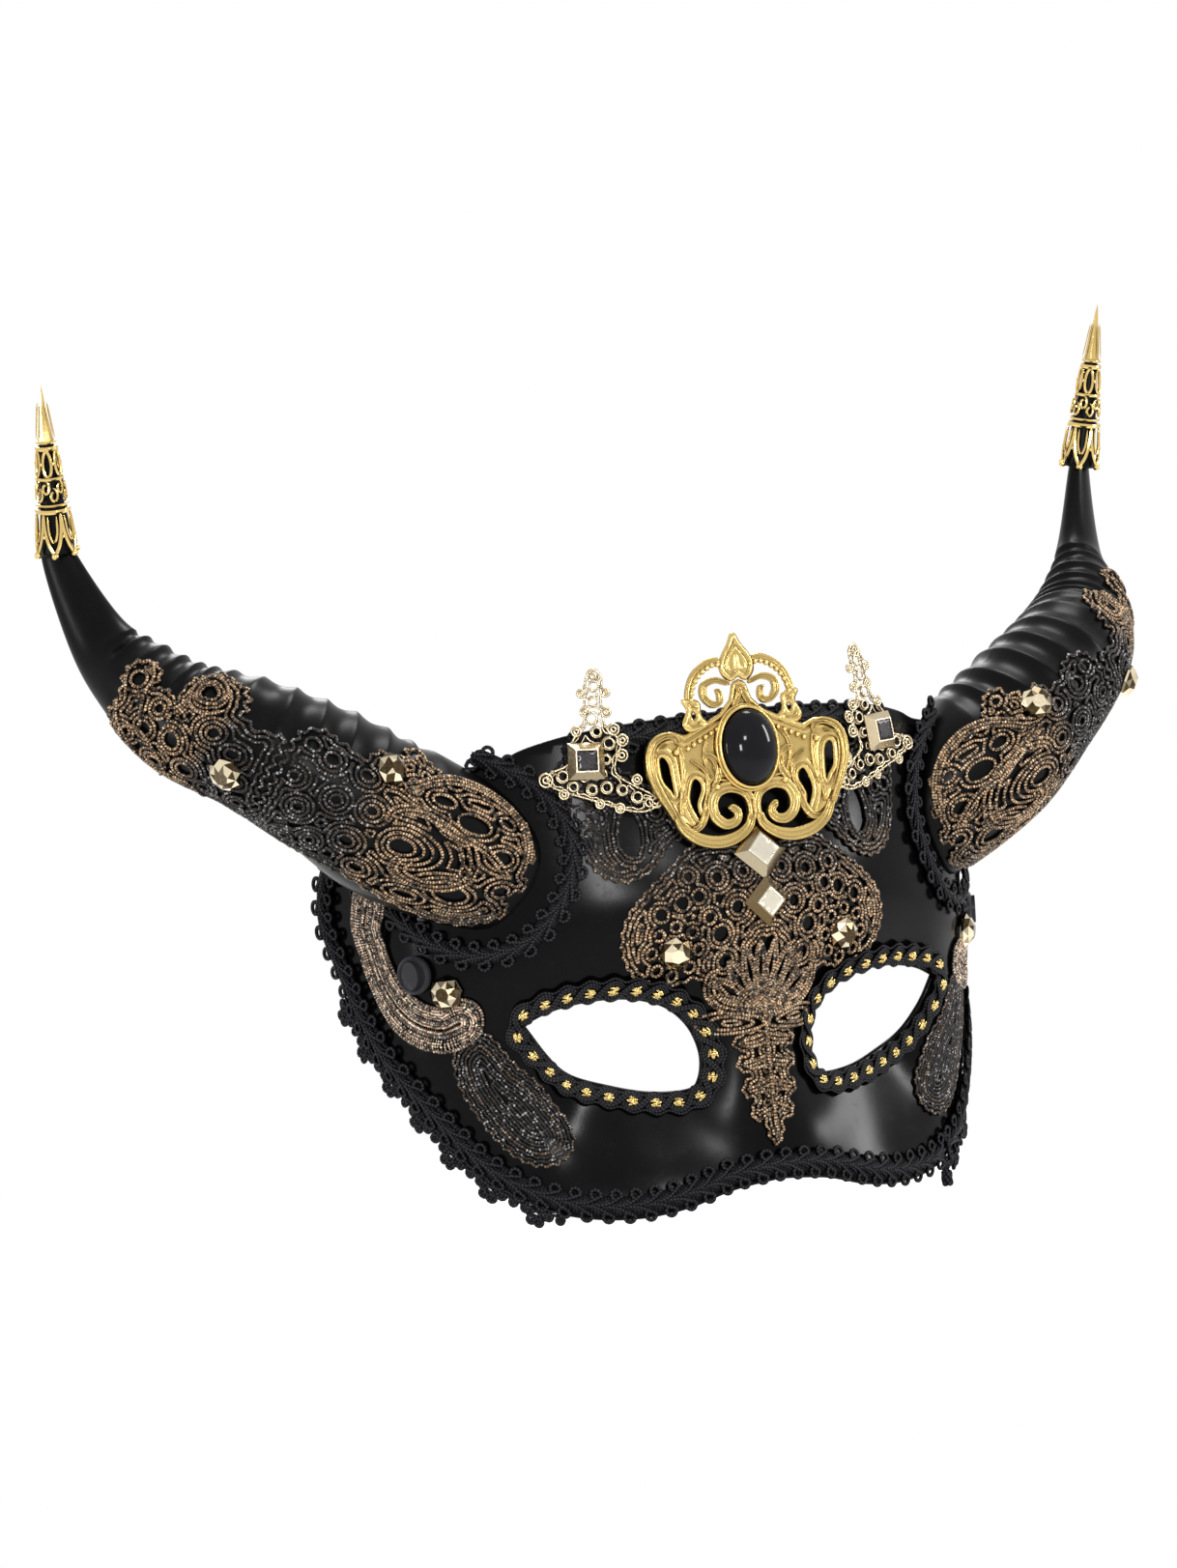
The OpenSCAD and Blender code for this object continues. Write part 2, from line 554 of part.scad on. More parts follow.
crescent_path = [[80, 38], [82, 26], [76, 15], [66.5, 8], [58, 8.5]];
module temple_crescent() color("#a88f68") {
    path = function(u) spline(crescent_path, u * (len(crescent_path) - 1));
    slab(ribbon(path, function(u) 8.4), 20, 1, lace_lo, lace_hi);
}

cheek_path = [[57, -1], [53, -9], [47.5, -18], [43.5, -27]];
module cheek_lace() color("#2a2420") {
    path = function(u) spline(cheek_path, u * (len(cheek_path) - 1));
    slab(ribbon(path, function(u) 7 + 11 * sin(180 * min(0.95, 0.12 + 0.75 * u))), 12, 3, lace_lo, lace_hi);
}

// Lace wrapped over the front and under side of a horn, between two places along it
module horn_lace(t0, t1, low, high, shift) {
    place = function(u, v, h)
        let (w = 0.82 + 0.18 * sin(180 * u))
        horn(t0 + (t1 - t0) * u, high * w + (low - high) * w * (1 - v), h, shift);
    slab(place, 16, 9, lace_lo, lace_hi);
}
module horn_root_lace(shift) color("#6b5138") horn_lace(0.16, 0.39, -80, 36, shift);
module horn_tip_lace(shift) color("#4a3b2c") horn_lace(0.4, 0.66, -84, 40, shift);

// ---------- the assembly ----------

module left() mirror([1, 0, 0]) children();

face_shell();
left() horn_front(0);  // left_horn_front
left() horn_back(0);  // left_horn_back
horn_front(right_shift);  // right_horn_front
horn_back(right_shift);  // right_horn_back
left() horn_cap();  // left_horn_cap
horn_cap();  // right_horn_cap
crown_plate();
cabochon_cup();
cabochon();
left() corner_filigree();  // left_corner_filigree
corner_filigree();  // right_corner_filigree
left() corner_stud();  // left_corner_stud
corner_stud();  // right_corner_stud
upper_diamond_stud();
lower_diamond_stud();
left() forehead_stud();  // left_forehead_stud
forehead_stud();  // right_forehead_stud
left() temple_stud();  // left_temple_stud
temple_stud();  // right_temple_stud
left() horn_studs(0);  // left_horn_studs
horn_studs(right_shift);  // right_horn_studs
left() tie_button();  // left_tie_button
tie_button();  // right_tie_button
top_braid();
lower_braid();
right_side_braid();
trim_end();
left() horn_braid(0);  // left_horn_braid
horn_braid(right_shift);  // right_horn_braid
left() picot_edging();  // left_picot_edging
picot_edging();  // right_picot_edging
left() eye_braid();  // left_eye_braid
eye_braid();  // right_eye_braid
centre_lace();
left() forehead_lace();  // left_forehead_lace
forehead_lace();  // right_forehead_lace
left() temple_crescent();  // left_temple_crescent
temple_crescent();  // right_temple_crescent
left() cheek_lace();  // left_cheek_lace
cheek_lace();  // right_cheek_lace
left() horn_root_lace(0);  // left_horn_root_lace
horn_root_lace(right_shift);  // right_horn_root_lace
left() horn_tip_lace(0);  // left_horn_tip_lace
horn_tip_lace(right_shift);  // right_horn_tip_lace
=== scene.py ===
"""Horned masquerade half mask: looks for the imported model, laid out as an add-on.

Lengths in the settings are metres. The functions below work in millimetres, the unit of the
patterns for the lace and the metalwork. Meshes are made in metres.
"""
import functools
import math

import bpy
import numpy as np
from mathutils import Matrix, Vector
from mathutils.geometry import delaunay_2d_cdt


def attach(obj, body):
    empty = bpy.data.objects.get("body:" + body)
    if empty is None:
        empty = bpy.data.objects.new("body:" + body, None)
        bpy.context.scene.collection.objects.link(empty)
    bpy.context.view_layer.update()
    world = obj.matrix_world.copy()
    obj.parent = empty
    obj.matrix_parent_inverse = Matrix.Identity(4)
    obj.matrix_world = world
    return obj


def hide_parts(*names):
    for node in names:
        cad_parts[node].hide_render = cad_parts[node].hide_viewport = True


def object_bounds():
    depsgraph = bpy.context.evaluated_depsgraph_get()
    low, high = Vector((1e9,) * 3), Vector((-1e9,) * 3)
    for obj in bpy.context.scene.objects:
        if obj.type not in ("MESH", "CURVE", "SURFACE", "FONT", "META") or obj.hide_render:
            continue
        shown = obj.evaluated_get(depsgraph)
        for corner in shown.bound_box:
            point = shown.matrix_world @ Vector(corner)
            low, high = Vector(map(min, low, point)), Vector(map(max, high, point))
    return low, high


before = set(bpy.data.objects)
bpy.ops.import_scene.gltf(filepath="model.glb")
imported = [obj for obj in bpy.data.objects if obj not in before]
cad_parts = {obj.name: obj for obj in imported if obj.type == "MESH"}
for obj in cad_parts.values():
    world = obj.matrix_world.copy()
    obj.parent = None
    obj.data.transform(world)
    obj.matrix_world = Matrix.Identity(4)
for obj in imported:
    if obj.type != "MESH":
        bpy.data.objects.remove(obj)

cad_box = [list(corner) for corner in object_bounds()]

bl_info = {
    "name": "Horned masquerade mask",
    "version": (1, 0, 0),
    "blender": (4, 5, 0),
    "location": "3D View > Sidebar > Mask",
    "description": "Builds the shell, horns, metalwork, gimp and lace of a horned half mask",
    "category": "Object",
}

# ---------- small maths ----------

MM = 0.001


def unit(v):
    return v / np.maximum(np.linalg.norm(v, axis=-1, keepdims=True), 1e-12)


def ease(t):
    c = np.clip(t, 0, 1)
    return c * c * (3 - 2 * c)


def bell(t):
    return np.exp(-np.asarray(t, float) ** 2)


def catmull(a, b, c, d, f):
    return 0.5 * (2 * b + (c - a) * f + (2 * a - 5 * b + 4 * c - d) * f ** 2
                  + (3 * b - a - 3 * c + d) * f ** 3)


def spline(points, k):
    """Points at k on a smooth curve through the given ones; k runs from 0 to the last index."""
    p, k = np.asarray(points, float), np.asarray(k, float)
    i = np.clip(np.floor(k).astype(int), 0, len(p) - 2)
    p = np.vstack([2 * p[0] - p[1], p, 2 * p[-1] - p[-2]])
    return catmull(p[i], p[i + 1], p[i + 2], p[i + 3], (k - i)[..., None])


def ring_spline(points, k):
    """The same on a closed curve, where k wraps round."""
    p, k = np.asarray(points, float), np.asarray(k, float)
    i = np.floor(k).astype(int)
    a, b, c, d = (p[(i + j) % len(p)] for j in (-1, 0, 1, 2))
    return catmull(a, b, c, d, (k - i)[..., None])


def run_along(path):
    """Length run along a path at each of its points."""
    return np.concatenate([[0], np.cumsum(np.linalg.norm(np.diff(path, axis=0), axis=1))])


def walk(path, step, closed=False):
    """The path again with points an even step apart."""
    p = np.asarray(path, float)
    if closed:
        p = np.vstack([p, p[:1]])
    run = run_along(p)
    n = max(int(round(run[-1] / step)), 3 if closed else 2)
    at = np.linspace(0, run[-1], n + 1)[:-1] if closed else np.linspace(0, run[-1], n + 1)
    return np.column_stack([np.interp(at, run, p[:, j]) for j in range(p.shape[1])])


def smooth(points, step=0.7, closed=False):
    """Smooth path through a few points, with points an even step apart."""
    n = len(points)
    k = np.linspace(0, n if closed else n - 1, 24 * n)
    fine = ring_spline(points, k[:-1]) if closed else spline(points, k)
    return walk(fine, step, closed)


def sideways(path, closed=False):
    """Unit vectors to the left of a flat path."""
    if closed:
        t = np.roll(path, -1, axis=0) - np.roll(path, 1, axis=0)
    else:
        t = np.gradient(path, axis=0)
    return unit(np.column_stack([-t[:, 1], t[:, 0]]))


def evened(loop, times):
    """A closed path with each point drawn towards its neighbours, a number of times."""
    for _ in range(times):
        loop = (loop + np.roll(loop, 1, axis=0) + np.roll(loop, -1, axis=0)) / 3
    return loop


def oval(x, y, across, up, turn):
    """Places on an oval round [x, y], or on a spiral, at turns in radians."""
    return np.column_stack([x + across * np.cos(turn), y + up * np.sin(turn)])


def both_halves(half):
    """Closed outline from the right half, which starts and ends on the middle line."""
    half = np.asarray(half, float)
    return np.vstack([half, half[-2:0:-1] * [-1, 1]])


# ---------- the face and horn surfaces ----------

STRAIGHT_FROM = 80     # bearing where the wings run straight back
WING_END = 103         # bearing where the wings end
CROWN_BEND = 45        # height from which the forehead leans back
TAPER = 0.14           # how much the face narrows for each millimetre below the eye line
HORN_OUTER, HORN_SPAN = 93, 54   # outer bearing of a horn's foot, and the bearings it takes up
EDGE_TOP = [[0, 0], [16, -0.5], [30, -2], [40, -4.5], [46, -7], [60, -8.5], [75, -11],
    [88, -15.5], [97, -24], [102, -36], [103, -43]]
EDGE_BOTTOM = [[0, 6], [10, 4.5], [20, 1], [31, 0], [43, 2.5], [53, 8], [62, 16.5], [72, 30],
    [82, 43], [91, 56], [99, 69], [103, 81]]
EYE_OUTLINE = [[1, 0.84], [0.85, 0.945], [0.66, 1], [0.48, 1], [0.31, 0.945], [0.16, 0.83],
    [0.05, 0.63], [0, 0.36], [0.02, 0.11], [0.09, 0], [0.31, 0.02], [0.53, 0.13], [0.73, 0.28],
    [0.87, 0.52], [1, 0.84]]
EYE_FLOOR = -16.3
FOOT_RING = [[39.5, 48], [41.5, 58], [48, 66], [59, 68.5], [72, 66], [85, 61.5], [93, 57],
    [88, 54], [77, 45.5], [64, 35], [52, 31], [43.5, 38]]
HORN_LINE = [[-24, -24, 50, 1], [1, -27, 61, 0.86], [18, -26, 73.5, 0.775],
    [34, -20.5, 84.5, 0.69], [46.5, -9, 92.5, 0.61], [55, 0, 103, 0.49], [61, 9, 115, 0.335],
    [67.5, 15, 138, 0.184], [68.6, 12.2, 149, 0.1]]
TIP_POINT = [72, 4, 180.5]
RIB_START, RIB_END = 0.12, 0.72
SEAT = 0.2             # height of a horn's foot above the face


def turned_out(b, shift):
    """Bearings at a horn's foot, for a horn that stands shift degrees further out."""
    return b + shift * (HORN_OUTER - b) / HORN_SPAN


class Face:
    """The moulded face. A place is [bearing in degrees, height], or [x, z] on the flat
    pattern, where x is the length of a tape laid round the brow from the nose line."""

    def __init__(self, s):
        self.s = s
        fine = np.arange(-110, 110.1, 0.5)
        p = self.at(fine, np.full_like(fine, 25.0))
        run = run_along(p)
        self.tape_b, self.tape = fine, run - np.interp(0, fine, run)
        self.top, self.bottom = (spline(edge, np.arange(0, len(edge) - 0.9, 0.25))
                                 for edge in (EDGE_TOP, EDGE_BOTTOM))

    def half_width(self, z):
        return self.s["half_width"] - TAPER * np.maximum(-z, 0)

    def at(self, b, z):
        """Points on the skin: bowed round the head, with a nose ridge, sockets and a brow."""
        s = self.s
        a = np.radians(np.minimum(abs(b), STRAIGHT_FROM))
        e = np.radians(np.maximum(abs(b) - STRAIGHT_FROM, 0))
        x = np.sign(b) * self.half_width(z) * (np.sin(a) + np.cos(a) * e)
        socket = s["eye_inset"] + 0.4 * s["eye_width"]
        y = (-2.5 + 4.5 / (1 + np.exp((z - 12) / 4)) - 2 * bell((z + 44) / 9)
             - 4 * bell((z - 33) / 16) * bell(x / 45)
             + 0.0012 * np.maximum(z - CROWN_BEND, 0) ** 2
             + s["face_depth"] * (1 - np.cos(a) + 1.25 * np.sin(a) * e)
             + s["socket_depth"] * np.exp(-((abs(x) - socket) / 22) ** 4) * bell((z + 8) / 20))
        return np.stack([x, y, z + 0 * b], axis=-1)

    def normal(self, b, z):
        d = 0.3
        return unit(np.cross(self.at(b + d, z) - self.at(b - d, z),
                             self.at(b, z + d) - self.at(b, z - d)))

    def place(self, b, z, h=0.0):
        b, z = np.asarray(b, float), np.asarray(z, float)
        return self.at(b, z) + np.asarray(h)[..., None] * self.normal(b, z)

    def bearing(self, x):
        return np.interp(x, self.tape, self.tape_b)

    def along(self, b):
        """Length on the tape of a bearing."""
        return np.interp(b, self.tape_b, self.tape)

    def top_z(self, b):
        return self.s["top_height"] + np.interp(abs(b), self.top[:, 0], self.top[:, 1])

    def bottom_z(self, b):
        return -self.s["cheek_drop"] + np.interp(abs(b), self.bottom[:, 0], self.bottom[:, 1])

    def eye_bz(self, side, n=160):
        """One eye hole as [bearing, z], from its outer corner round."""
        p = spline(EYE_OUTLINE, np.linspace(0, len(EYE_OUTLINE) - 1, n + 1)[:-1])
        x = self.s["eye_inset"] + self.s["eye_width"] * p[:, 0]
        z = EYE_FLOOR + self.s["eye_height"] * p[:, 1]
        b = np.degrees(np.arcsin(x / self.half_width(z)))
        return np.column_stack([side * b, z])

    def flat(self, bz):
        """[bearing, z] places put on the flat pattern."""
        bz = np.asarray(bz, float)
        return np.column_stack([self.along(bz[:, 0]), bz[:, 1]])

    def lay(self, path, h):
        """Points and outward normals of a flat-pattern path at height h."""
        path = np.asarray(path, float)
        b = self.bearing(path[:, 0])
        n = self.normal(b, path[:, 1])
        return self.at(b, path[:, 1]) + np.asarray(h).reshape(-1, 1) * n, n


class Horn:
    """One horn. A place is [t, a]: the share of its length and the angle round it, or
    [x, y] on the flat pattern: millimetres out along the horn and up round it."""

    def __init__(self, s, face, side, shift):
        self.s, self.face, self.side, self.shift = s, face, side, shift
        self.root = np.array([s["half_width"], s["face_depth"], 0])
        self.tape_t = np.linspace(0, 1, 401)
        self.tape = run_along(self.centre(self.tape_t))

    def data(self, t):
        """Middle of the horn and its share of the root radius, at shares of its length."""
        return spline(HORN_LINE, np.asarray(t, float) * (len(HORN_LINE) - 1))

    def centre(self, t):
        return self.data(t)[..., :3] + self.root

    def ribs(self, t):
        """Depth below the crests, 0 to 1: wide valleys between narrow crests."""
        pitch = (RIB_END - RIB_START) / self.s["rib_count"]
        wave = 0.5 - 0.5 * np.cos(2 * np.pi * (t - RIB_START) / pitch)
        return np.where((t < RIB_START) | (t > RIB_END), 0, wave ** 0.6)

    def at(self, t, a, h=0.0):
        """Points at height h over the skin. The tube runs into its foot near t = 0."""
        t, a = np.broadcast_arrays(np.asarray(t, float), np.asarray(a, float))
        h = np.broadcast_to(np.asarray(h, float), t.shape)[..., None]
        d = self.data(t)
        c = d[..., :3] + self.root
        axis = unit(self.centre(np.minimum(t + 0.004, 1)) - self.centre(np.maximum(t - 0.004, 0)))
        look = np.stack([0.75 * t, 0.3 * t - 1, 0 * t], axis=-1)
        front = unit(look - axis * np.sum(axis * look, axis=-1, keepdims=True))
        up = np.cross(front, axis)
        flat = (1 - 0.45 * ease((t - 0.45) / 0.45))[..., None]
        ar = np.radians(a)
        rib = self.s["rib_depth"] * self.ribs(t) * ease((np.sin(ar) + 0.1) / 0.5)
        out = np.cos(ar)[..., None] * flat * front + np.sin(ar)[..., None] * up
        tube = c + (self.s["horn_root_r"] * d[..., 3] - rib)[..., None] * out + h * unit(out)
        foot = ring_spline(FOOT_RING, a / 30 + 12)
        fb = turned_out(foot[..., 0], self.shift)
        mid = self.face.at(np.array(66.0), np.array(50.0))
        base = self.face.at(fb, foot[..., 1])
        seat = base + SEAT * self.face.normal(fb, foot[..., 1]) + h * unit(base - mid)
        k = ease(t / 0.15)[..., None]
        return (seat * (1 - k) + tube * k) * np.array([self.side, 1, 1])

    def normal(self, t, a):
        d = np.cross(self.at(np.minimum(t + 0.006, 1), a) - self.at(np.maximum(t - 0.006, 0), a),
                     self.at(t, a + 2) - self.at(t, a - 2))
        return self.side * unit(d)

    def radius(self, t):
        return self.s["horn_root_r"] * self.data(t)[..., 3]

    def spread(self, path):
        """[t, a] of places on the flat pattern."""
        path = np.asarray(path, float)
        t = np.interp(path[:, 0], self.tape, self.tape_t)
        return t, path[:, 1] / (self.radius(t) * np.pi / 180)

    def lay(self, path, h):
        t, a = self.spread(path)
        n = self.normal(t, a)
        return self.at(t, a) + np.asarray(h).reshape(-1, 1) * n, n


class Plane:
    """A flat working surface, set out from an origin along two unit vectors."""

    def __init__(self, origin, right, up):
        self.o, self.r, self.u = (np.asarray(v, float) for v in (origin, right, up))
        self.n = np.cross(self.r, self.u)

    def lay(self, path, h):
        path = np.asarray(path, float)
        p = self.o + path[:, :1] * self.r + path[:, 1:2] * self.u
        return p + np.asarray(h).reshape(-1, 1) * self.n, np.broadcast_to(self.n, p.shape)


class Cone:
    """The skin of a horn cap: [length from its foot, angle in degrees]."""

    def __init__(self, foot, tip, r0, r1):
        self.foot, self.length = foot, np.linalg.norm(tip - foot)
        self.d = unit(tip - foot)
        self.a = unit(np.cross([0, 1, 0], self.d))
        self.b = np.cross(self.d, self.a)
        self.r0, self.r1 = r0, r1

    def lay(self, path, h):
        s, w = path[:, :1], np.radians(path[:, 1:2])
        n = np.cos(w) * self.a + np.sin(w) * self.b
        r = self.r0 + (self.r1 - self.r0) * s / self.length
        return self.foot + s * self.d + (r + np.asarray(h).reshape(-1, 1)) * n, n


# ---------- gathering a mesh ----------

class Work:
    """Vertices and faces gathered for one piece, in millimetres. Each vertex also carries
    its place in the yarn: length along it, turn round it, and how bronze it is."""

    def __init__(self):
        self.points, self.quads, self.tris, self.yarn, self.count = [], [], [], [], 0

    def add(self, points, quads=(), tris=(), yarn=None):
        points = np.asarray(points, float).reshape(-1, 3)
        self.points.append(points)
        self.yarn.append(np.zeros((len(points), 3)) if yarn is None else yarn)
        for store, faces, n in ((self.quads, quads, 4), (self.tris, tris, 3)):
            store.append(np.asarray(faces, int).reshape(-1, n) + self.count)
        self.count += len(points)

    def mirror(self):
        """Turns finished right-hand work into the left-hand piece."""
        self.points = [p * [-1, 1, 1] for p in self.points]
        self.quads = [q[:, ::-1] for q in self.quads]
        self.tris = [t[:, ::-1] for t in self.tris]

    def make(self, name, material, replaces=(), crease=0):
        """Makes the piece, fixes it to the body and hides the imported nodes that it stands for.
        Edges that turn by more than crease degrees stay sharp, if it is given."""
        points = np.vstack(self.points) * MM
        quads, tris = np.vstack(self.quads), np.vstack(self.tris)
        mesh = bpy.data.meshes.new(name)
        mesh.vertices.add(len(points))
        mesh.vertices.foreach_set("co", points.ravel())
        mesh.loops.add(quads.size + tris.size)
        mesh.loops.foreach_set("vertex_index", np.concatenate([quads.ravel(), tris.ravel()]))
        starts = np.concatenate([np.arange(len(quads)) * 4,
                                 quads.size + np.arange(len(tris)) * 3])
        mesh.polygons.add(len(starts))
        mesh.polygons.foreach_set("loop_start", starts)
        mesh.polygons.foreach_set("use_smooth", np.full(len(starts), True))
        mesh.update(calc_edges=True)
        if crease:
            mesh.set_sharp_from_angle(angle=math.radians(crease))
        mesh.attributes.new("yarn", "FLOAT_VECTOR", "POINT").data.foreach_set(
            "vector", np.vstack(self.yarn).ravel())
        mesh.materials.append(material)
        piece = bpy.data.objects.new(name, mesh)
        bpy.context.scene.collection.objects.link(piece)
        if replaces:
            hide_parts(*replaces)
        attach(piece, "root")


def round_section(n):
    """Cross section of a cord: n points on a circle, from its lowest point round."""
    turns = [math.radians(360 / n * k - 90) for k in range(n)]
    return [[math.cos(w), math.sin(w)] for w in turns]


ROUND, FINE_ROUND = round_section(6), round_section(10)
GROOVED = [[-1, -1], [-1, 0.3], [-0.84, 0.95], [-0.62, 0.85], [-0.46, 0.15], [-0.2, 0.45],
    [0, 0.5], [0.2, 0.45], [0.46, 0.15], [0.62, 0.85], [0.84, 0.95], [1, 0.3], [1, -1]]


def bands(rows, cols, closed=False):
    """Faces that join rings of points, each ring of the same count, laid one after another."""
    i, k = np.meshgrid(np.arange(rows if closed else rows - 1), np.arange(cols), indexing="ij")
    here, after, turned = i * cols, (i + 1) % rows * cols, (k + 1) % cols
    return np.stack([here + k, here + turned, after + turned, after + k], axis=-1).reshape(-1, 4)


def sweep(work, surface, path, h, wide, high=None, section=ROUND, closed=False, tint=0.0,
          ends=(0.1, 0.75)):
    """Lays a cord along a path on a surface. h is its middle's height, wide and high its
    half width and half height, each one number or one for every point of the path. ends
    are the shares of its thickness that are left at its last points, from the tip in."""
    path = np.asarray(path, float)
    n = len(path)
    h = np.broadcast_to(np.asarray(h, float), n)
    p, up = surface.lay(path, h)
    t = unit(np.roll(p, -1, axis=0) - np.roll(p, 1, axis=0) if closed else np.gradient(p, axis=0))
    side = unit(np.cross(t, up))
    up = np.cross(side, t)
    wide = np.broadcast_to(np.asarray(wide, float), n).copy()
    high = wide.copy() if high is None else np.broadcast_to(np.asarray(high, float), n).copy()
    if not closed:
        for k, share in enumerate(ends):
            for i in (k, -1 - k):
                wide[i], high[i] = wide[i] * share, high[i] * share
    cs = np.asarray(section, float)
    m = len(cs)
    ring = (p[:, None] + (wide[:, None] * cs[:, 0])[..., None] * side[:, None]
            + (high[:, None] * cs[:, 1])[..., None] * up[:, None])
    yarn = np.stack([np.repeat(run_along(p), m), np.tile(np.arange(m) / m, n),
                     np.repeat(np.broadcast_to(np.asarray(tint, float), n), m)], axis=-1)
    work.add(ring, quads=bands(n, m, closed)[:, [0, 3, 2, 1]], yarn=yarn)


def wall(work, outer, inner, flip=False):
    """Closed wall between two grids of points."""
    nu, nv = outer.shape[:2]
    i, j = np.meshgrid(np.arange(nu - 1), np.arange(nv - 1), indexing="ij")
    a = i * nv + j
    skin = np.stack([a, a + nv, a + nv + 1, a + 1], axis=-1).reshape(-1, 4)
    rim = np.concatenate([np.arange(nu) * nv, (nu - 1) * nv + np.arange(1, nv),
                          np.arange(nu - 2, -1, -1) * nv + nv - 1, np.arange(nv - 2, 0, -1)])
    after = np.roll(rim, -1)
    lay = nu * nv
    quads = np.vstack([skin, skin[:, ::-1] + lay,
                       np.stack([after, rim, rim + lay, after + lay], axis=-1)])
    work.add(np.concatenate([outer.reshape(-1, 3), inner.reshape(-1, 3)]),
             quads=quads[:, ::-1] if flip else quads)


class Guide:
    """A path on a flat pattern, for work set out by length along it and distance across."""

    def __init__(self, path, closed=False):
        p = walk(path, 0.5, closed)
        side = sideways(p, closed)
        for _ in range(2):
            if closed:
                more = np.roll(side, 1, axis=0) + np.roll(side, -1, axis=0)
            else:
                more = np.vstack([side[:1], side[:-1]]) + np.vstack([side[1:], side[-1:]])
            side = unit(side + 0.5 * more)
        if closed:
            p, side = np.vstack([p, p[:1]]), np.vstack([side, side[:1]])
        self.p, self.side, self.closed = p, side, closed
        self.s = run_along(p)
        self.length = self.s[-1]

    def at(self, s, c):
        """Places at length s along the path and distance c to its left."""
        s = np.asarray(s, float)
        s = s % self.length if self.closed else np.clip(s, 0, self.length)
        x, z, nx, nz = (np.interp(s, self.s, v) for v in (*self.p.T, *self.side.T))
        return np.column_stack([x + c * nx, z + c * nz])


# ---------- plates and lace from an outline and its holes ----------

def inside(points, loop):
    """Which points lie inside a closed flat outline."""
    x, z = points[:, :1], points[:, 1:]
    a, b = loop, np.roll(loop, -1, axis=0)
    crosses = (a[:, 1] > z) != (b[:, 1] > z)
    rise = np.where(b[:, 1] == a[:, 1], 1e-9, b[:, 1] - a[:, 1])
    at = a[:, 0] + (z - a[:, 1]) * (b[:, 0] - a[:, 0]) / rise
    return (crosses & (x < at)).sum(axis=1) % 2 == 1


def distance(points, loop):
    """Distance of points from a closed flat outline, positive inside it."""
    a, b = loop, np.roll(loop, -1, axis=0)
    ab = b - a
    out = np.empty(len(points))
    for i in range(0, len(points), 4000):
        ap = points[i:i + 4000, None] - a
        k = np.clip((ap * ab).sum(-1) / np.maximum((ab * ab).sum(-1), 1e-9), 0, 1)
        out[i:i + 4000] = np.linalg.norm(ap - k[..., None] * ab, axis=-1).min(axis=1)
    return np.where(inside(points, loop), out, -out)


def room(points, outline, holes):
    """How far points are from the nearest edge of a pierced outline, positive inside."""
    d = distance(points, outline)
    for hole in holes:
        if np.ndim(hole) == 1:
            d = np.minimum(d, np.linalg.norm(points - np.asarray(hole[:2]), axis=1) - hole[2])
        else:
            d = np.minimum(d, -distance(points, np.asarray(hole, float)))
    return d


# Which sides of a square cell a level line joins, for each set of raised corners.
CELL_EDGES = {1: [(3, 0)], 2: [(0, 1)], 3: [(3, 1)], 4: [(1, 2)], 5: [(3, 0), (1, 2)],
    6: [(0, 2)], 7: [(3, 2)], 8: [(2, 3)], 9: [(2, 0)], 10: [(0, 1), (2, 3)], 11: [(2, 1)],
    12: [(1, 3)], 13: [(1, 0)], 14: [(0, 3)]}


def rings_at(field, low, step, level):
    """Closed flat loops along which a sampled field passes a level."""
    f = field - level
    up = f > 0
    code = up[:-1, :-1] + 2 * up[1:, :-1] + 4 * up[1:, 1:] + 8 * up[:-1, 1:]
    links, spots = {}, {}

    def spot(i, j, upright):
        key = (i, j, upright)
        if key not in spots:
            u, v = f[i, j], f[i, j + 1] if upright else f[i + 1, j]
            k = u / (u - v)
            spots[key] = (i, j + k) if upright else (i + k, j)
        return key

    for i, j in zip(*np.nonzero((code > 0) & (code < 15))):
        sides = [(i, j, False), (i + 1, j, True), (i, j + 1, False), (i, j, True)]
        for a, b in CELL_EDGES[int(code[i, j])]:
            a, b = spot(*sides[a]), spot(*sides[b])
            links.setdefault(a, []).append(b)
            links.setdefault(b, []).append(a)
    loops, seen = [], set()
    for start in links:
        if start in seen:
            continue
        chain, here = [], start
        while here is not None and here not in seen:
            seen.add(here)
            chain.append(spots[here])
            here = next((k for k in links[here] if k not in seen), None)
        loops.append(np.array(chain) * step + low)
    return loops


FRILL_STEP, FRILL_LENGTH = 0.6, 3.1      # points of a lace outline, and one of its scallops
FIELD_STEP, STITCH_STEP = 0.34, 0.62     # grid behind the rows of lace, and their own points
SHORTEST_ROW = 5                         # points in the smallest loop that is still laid


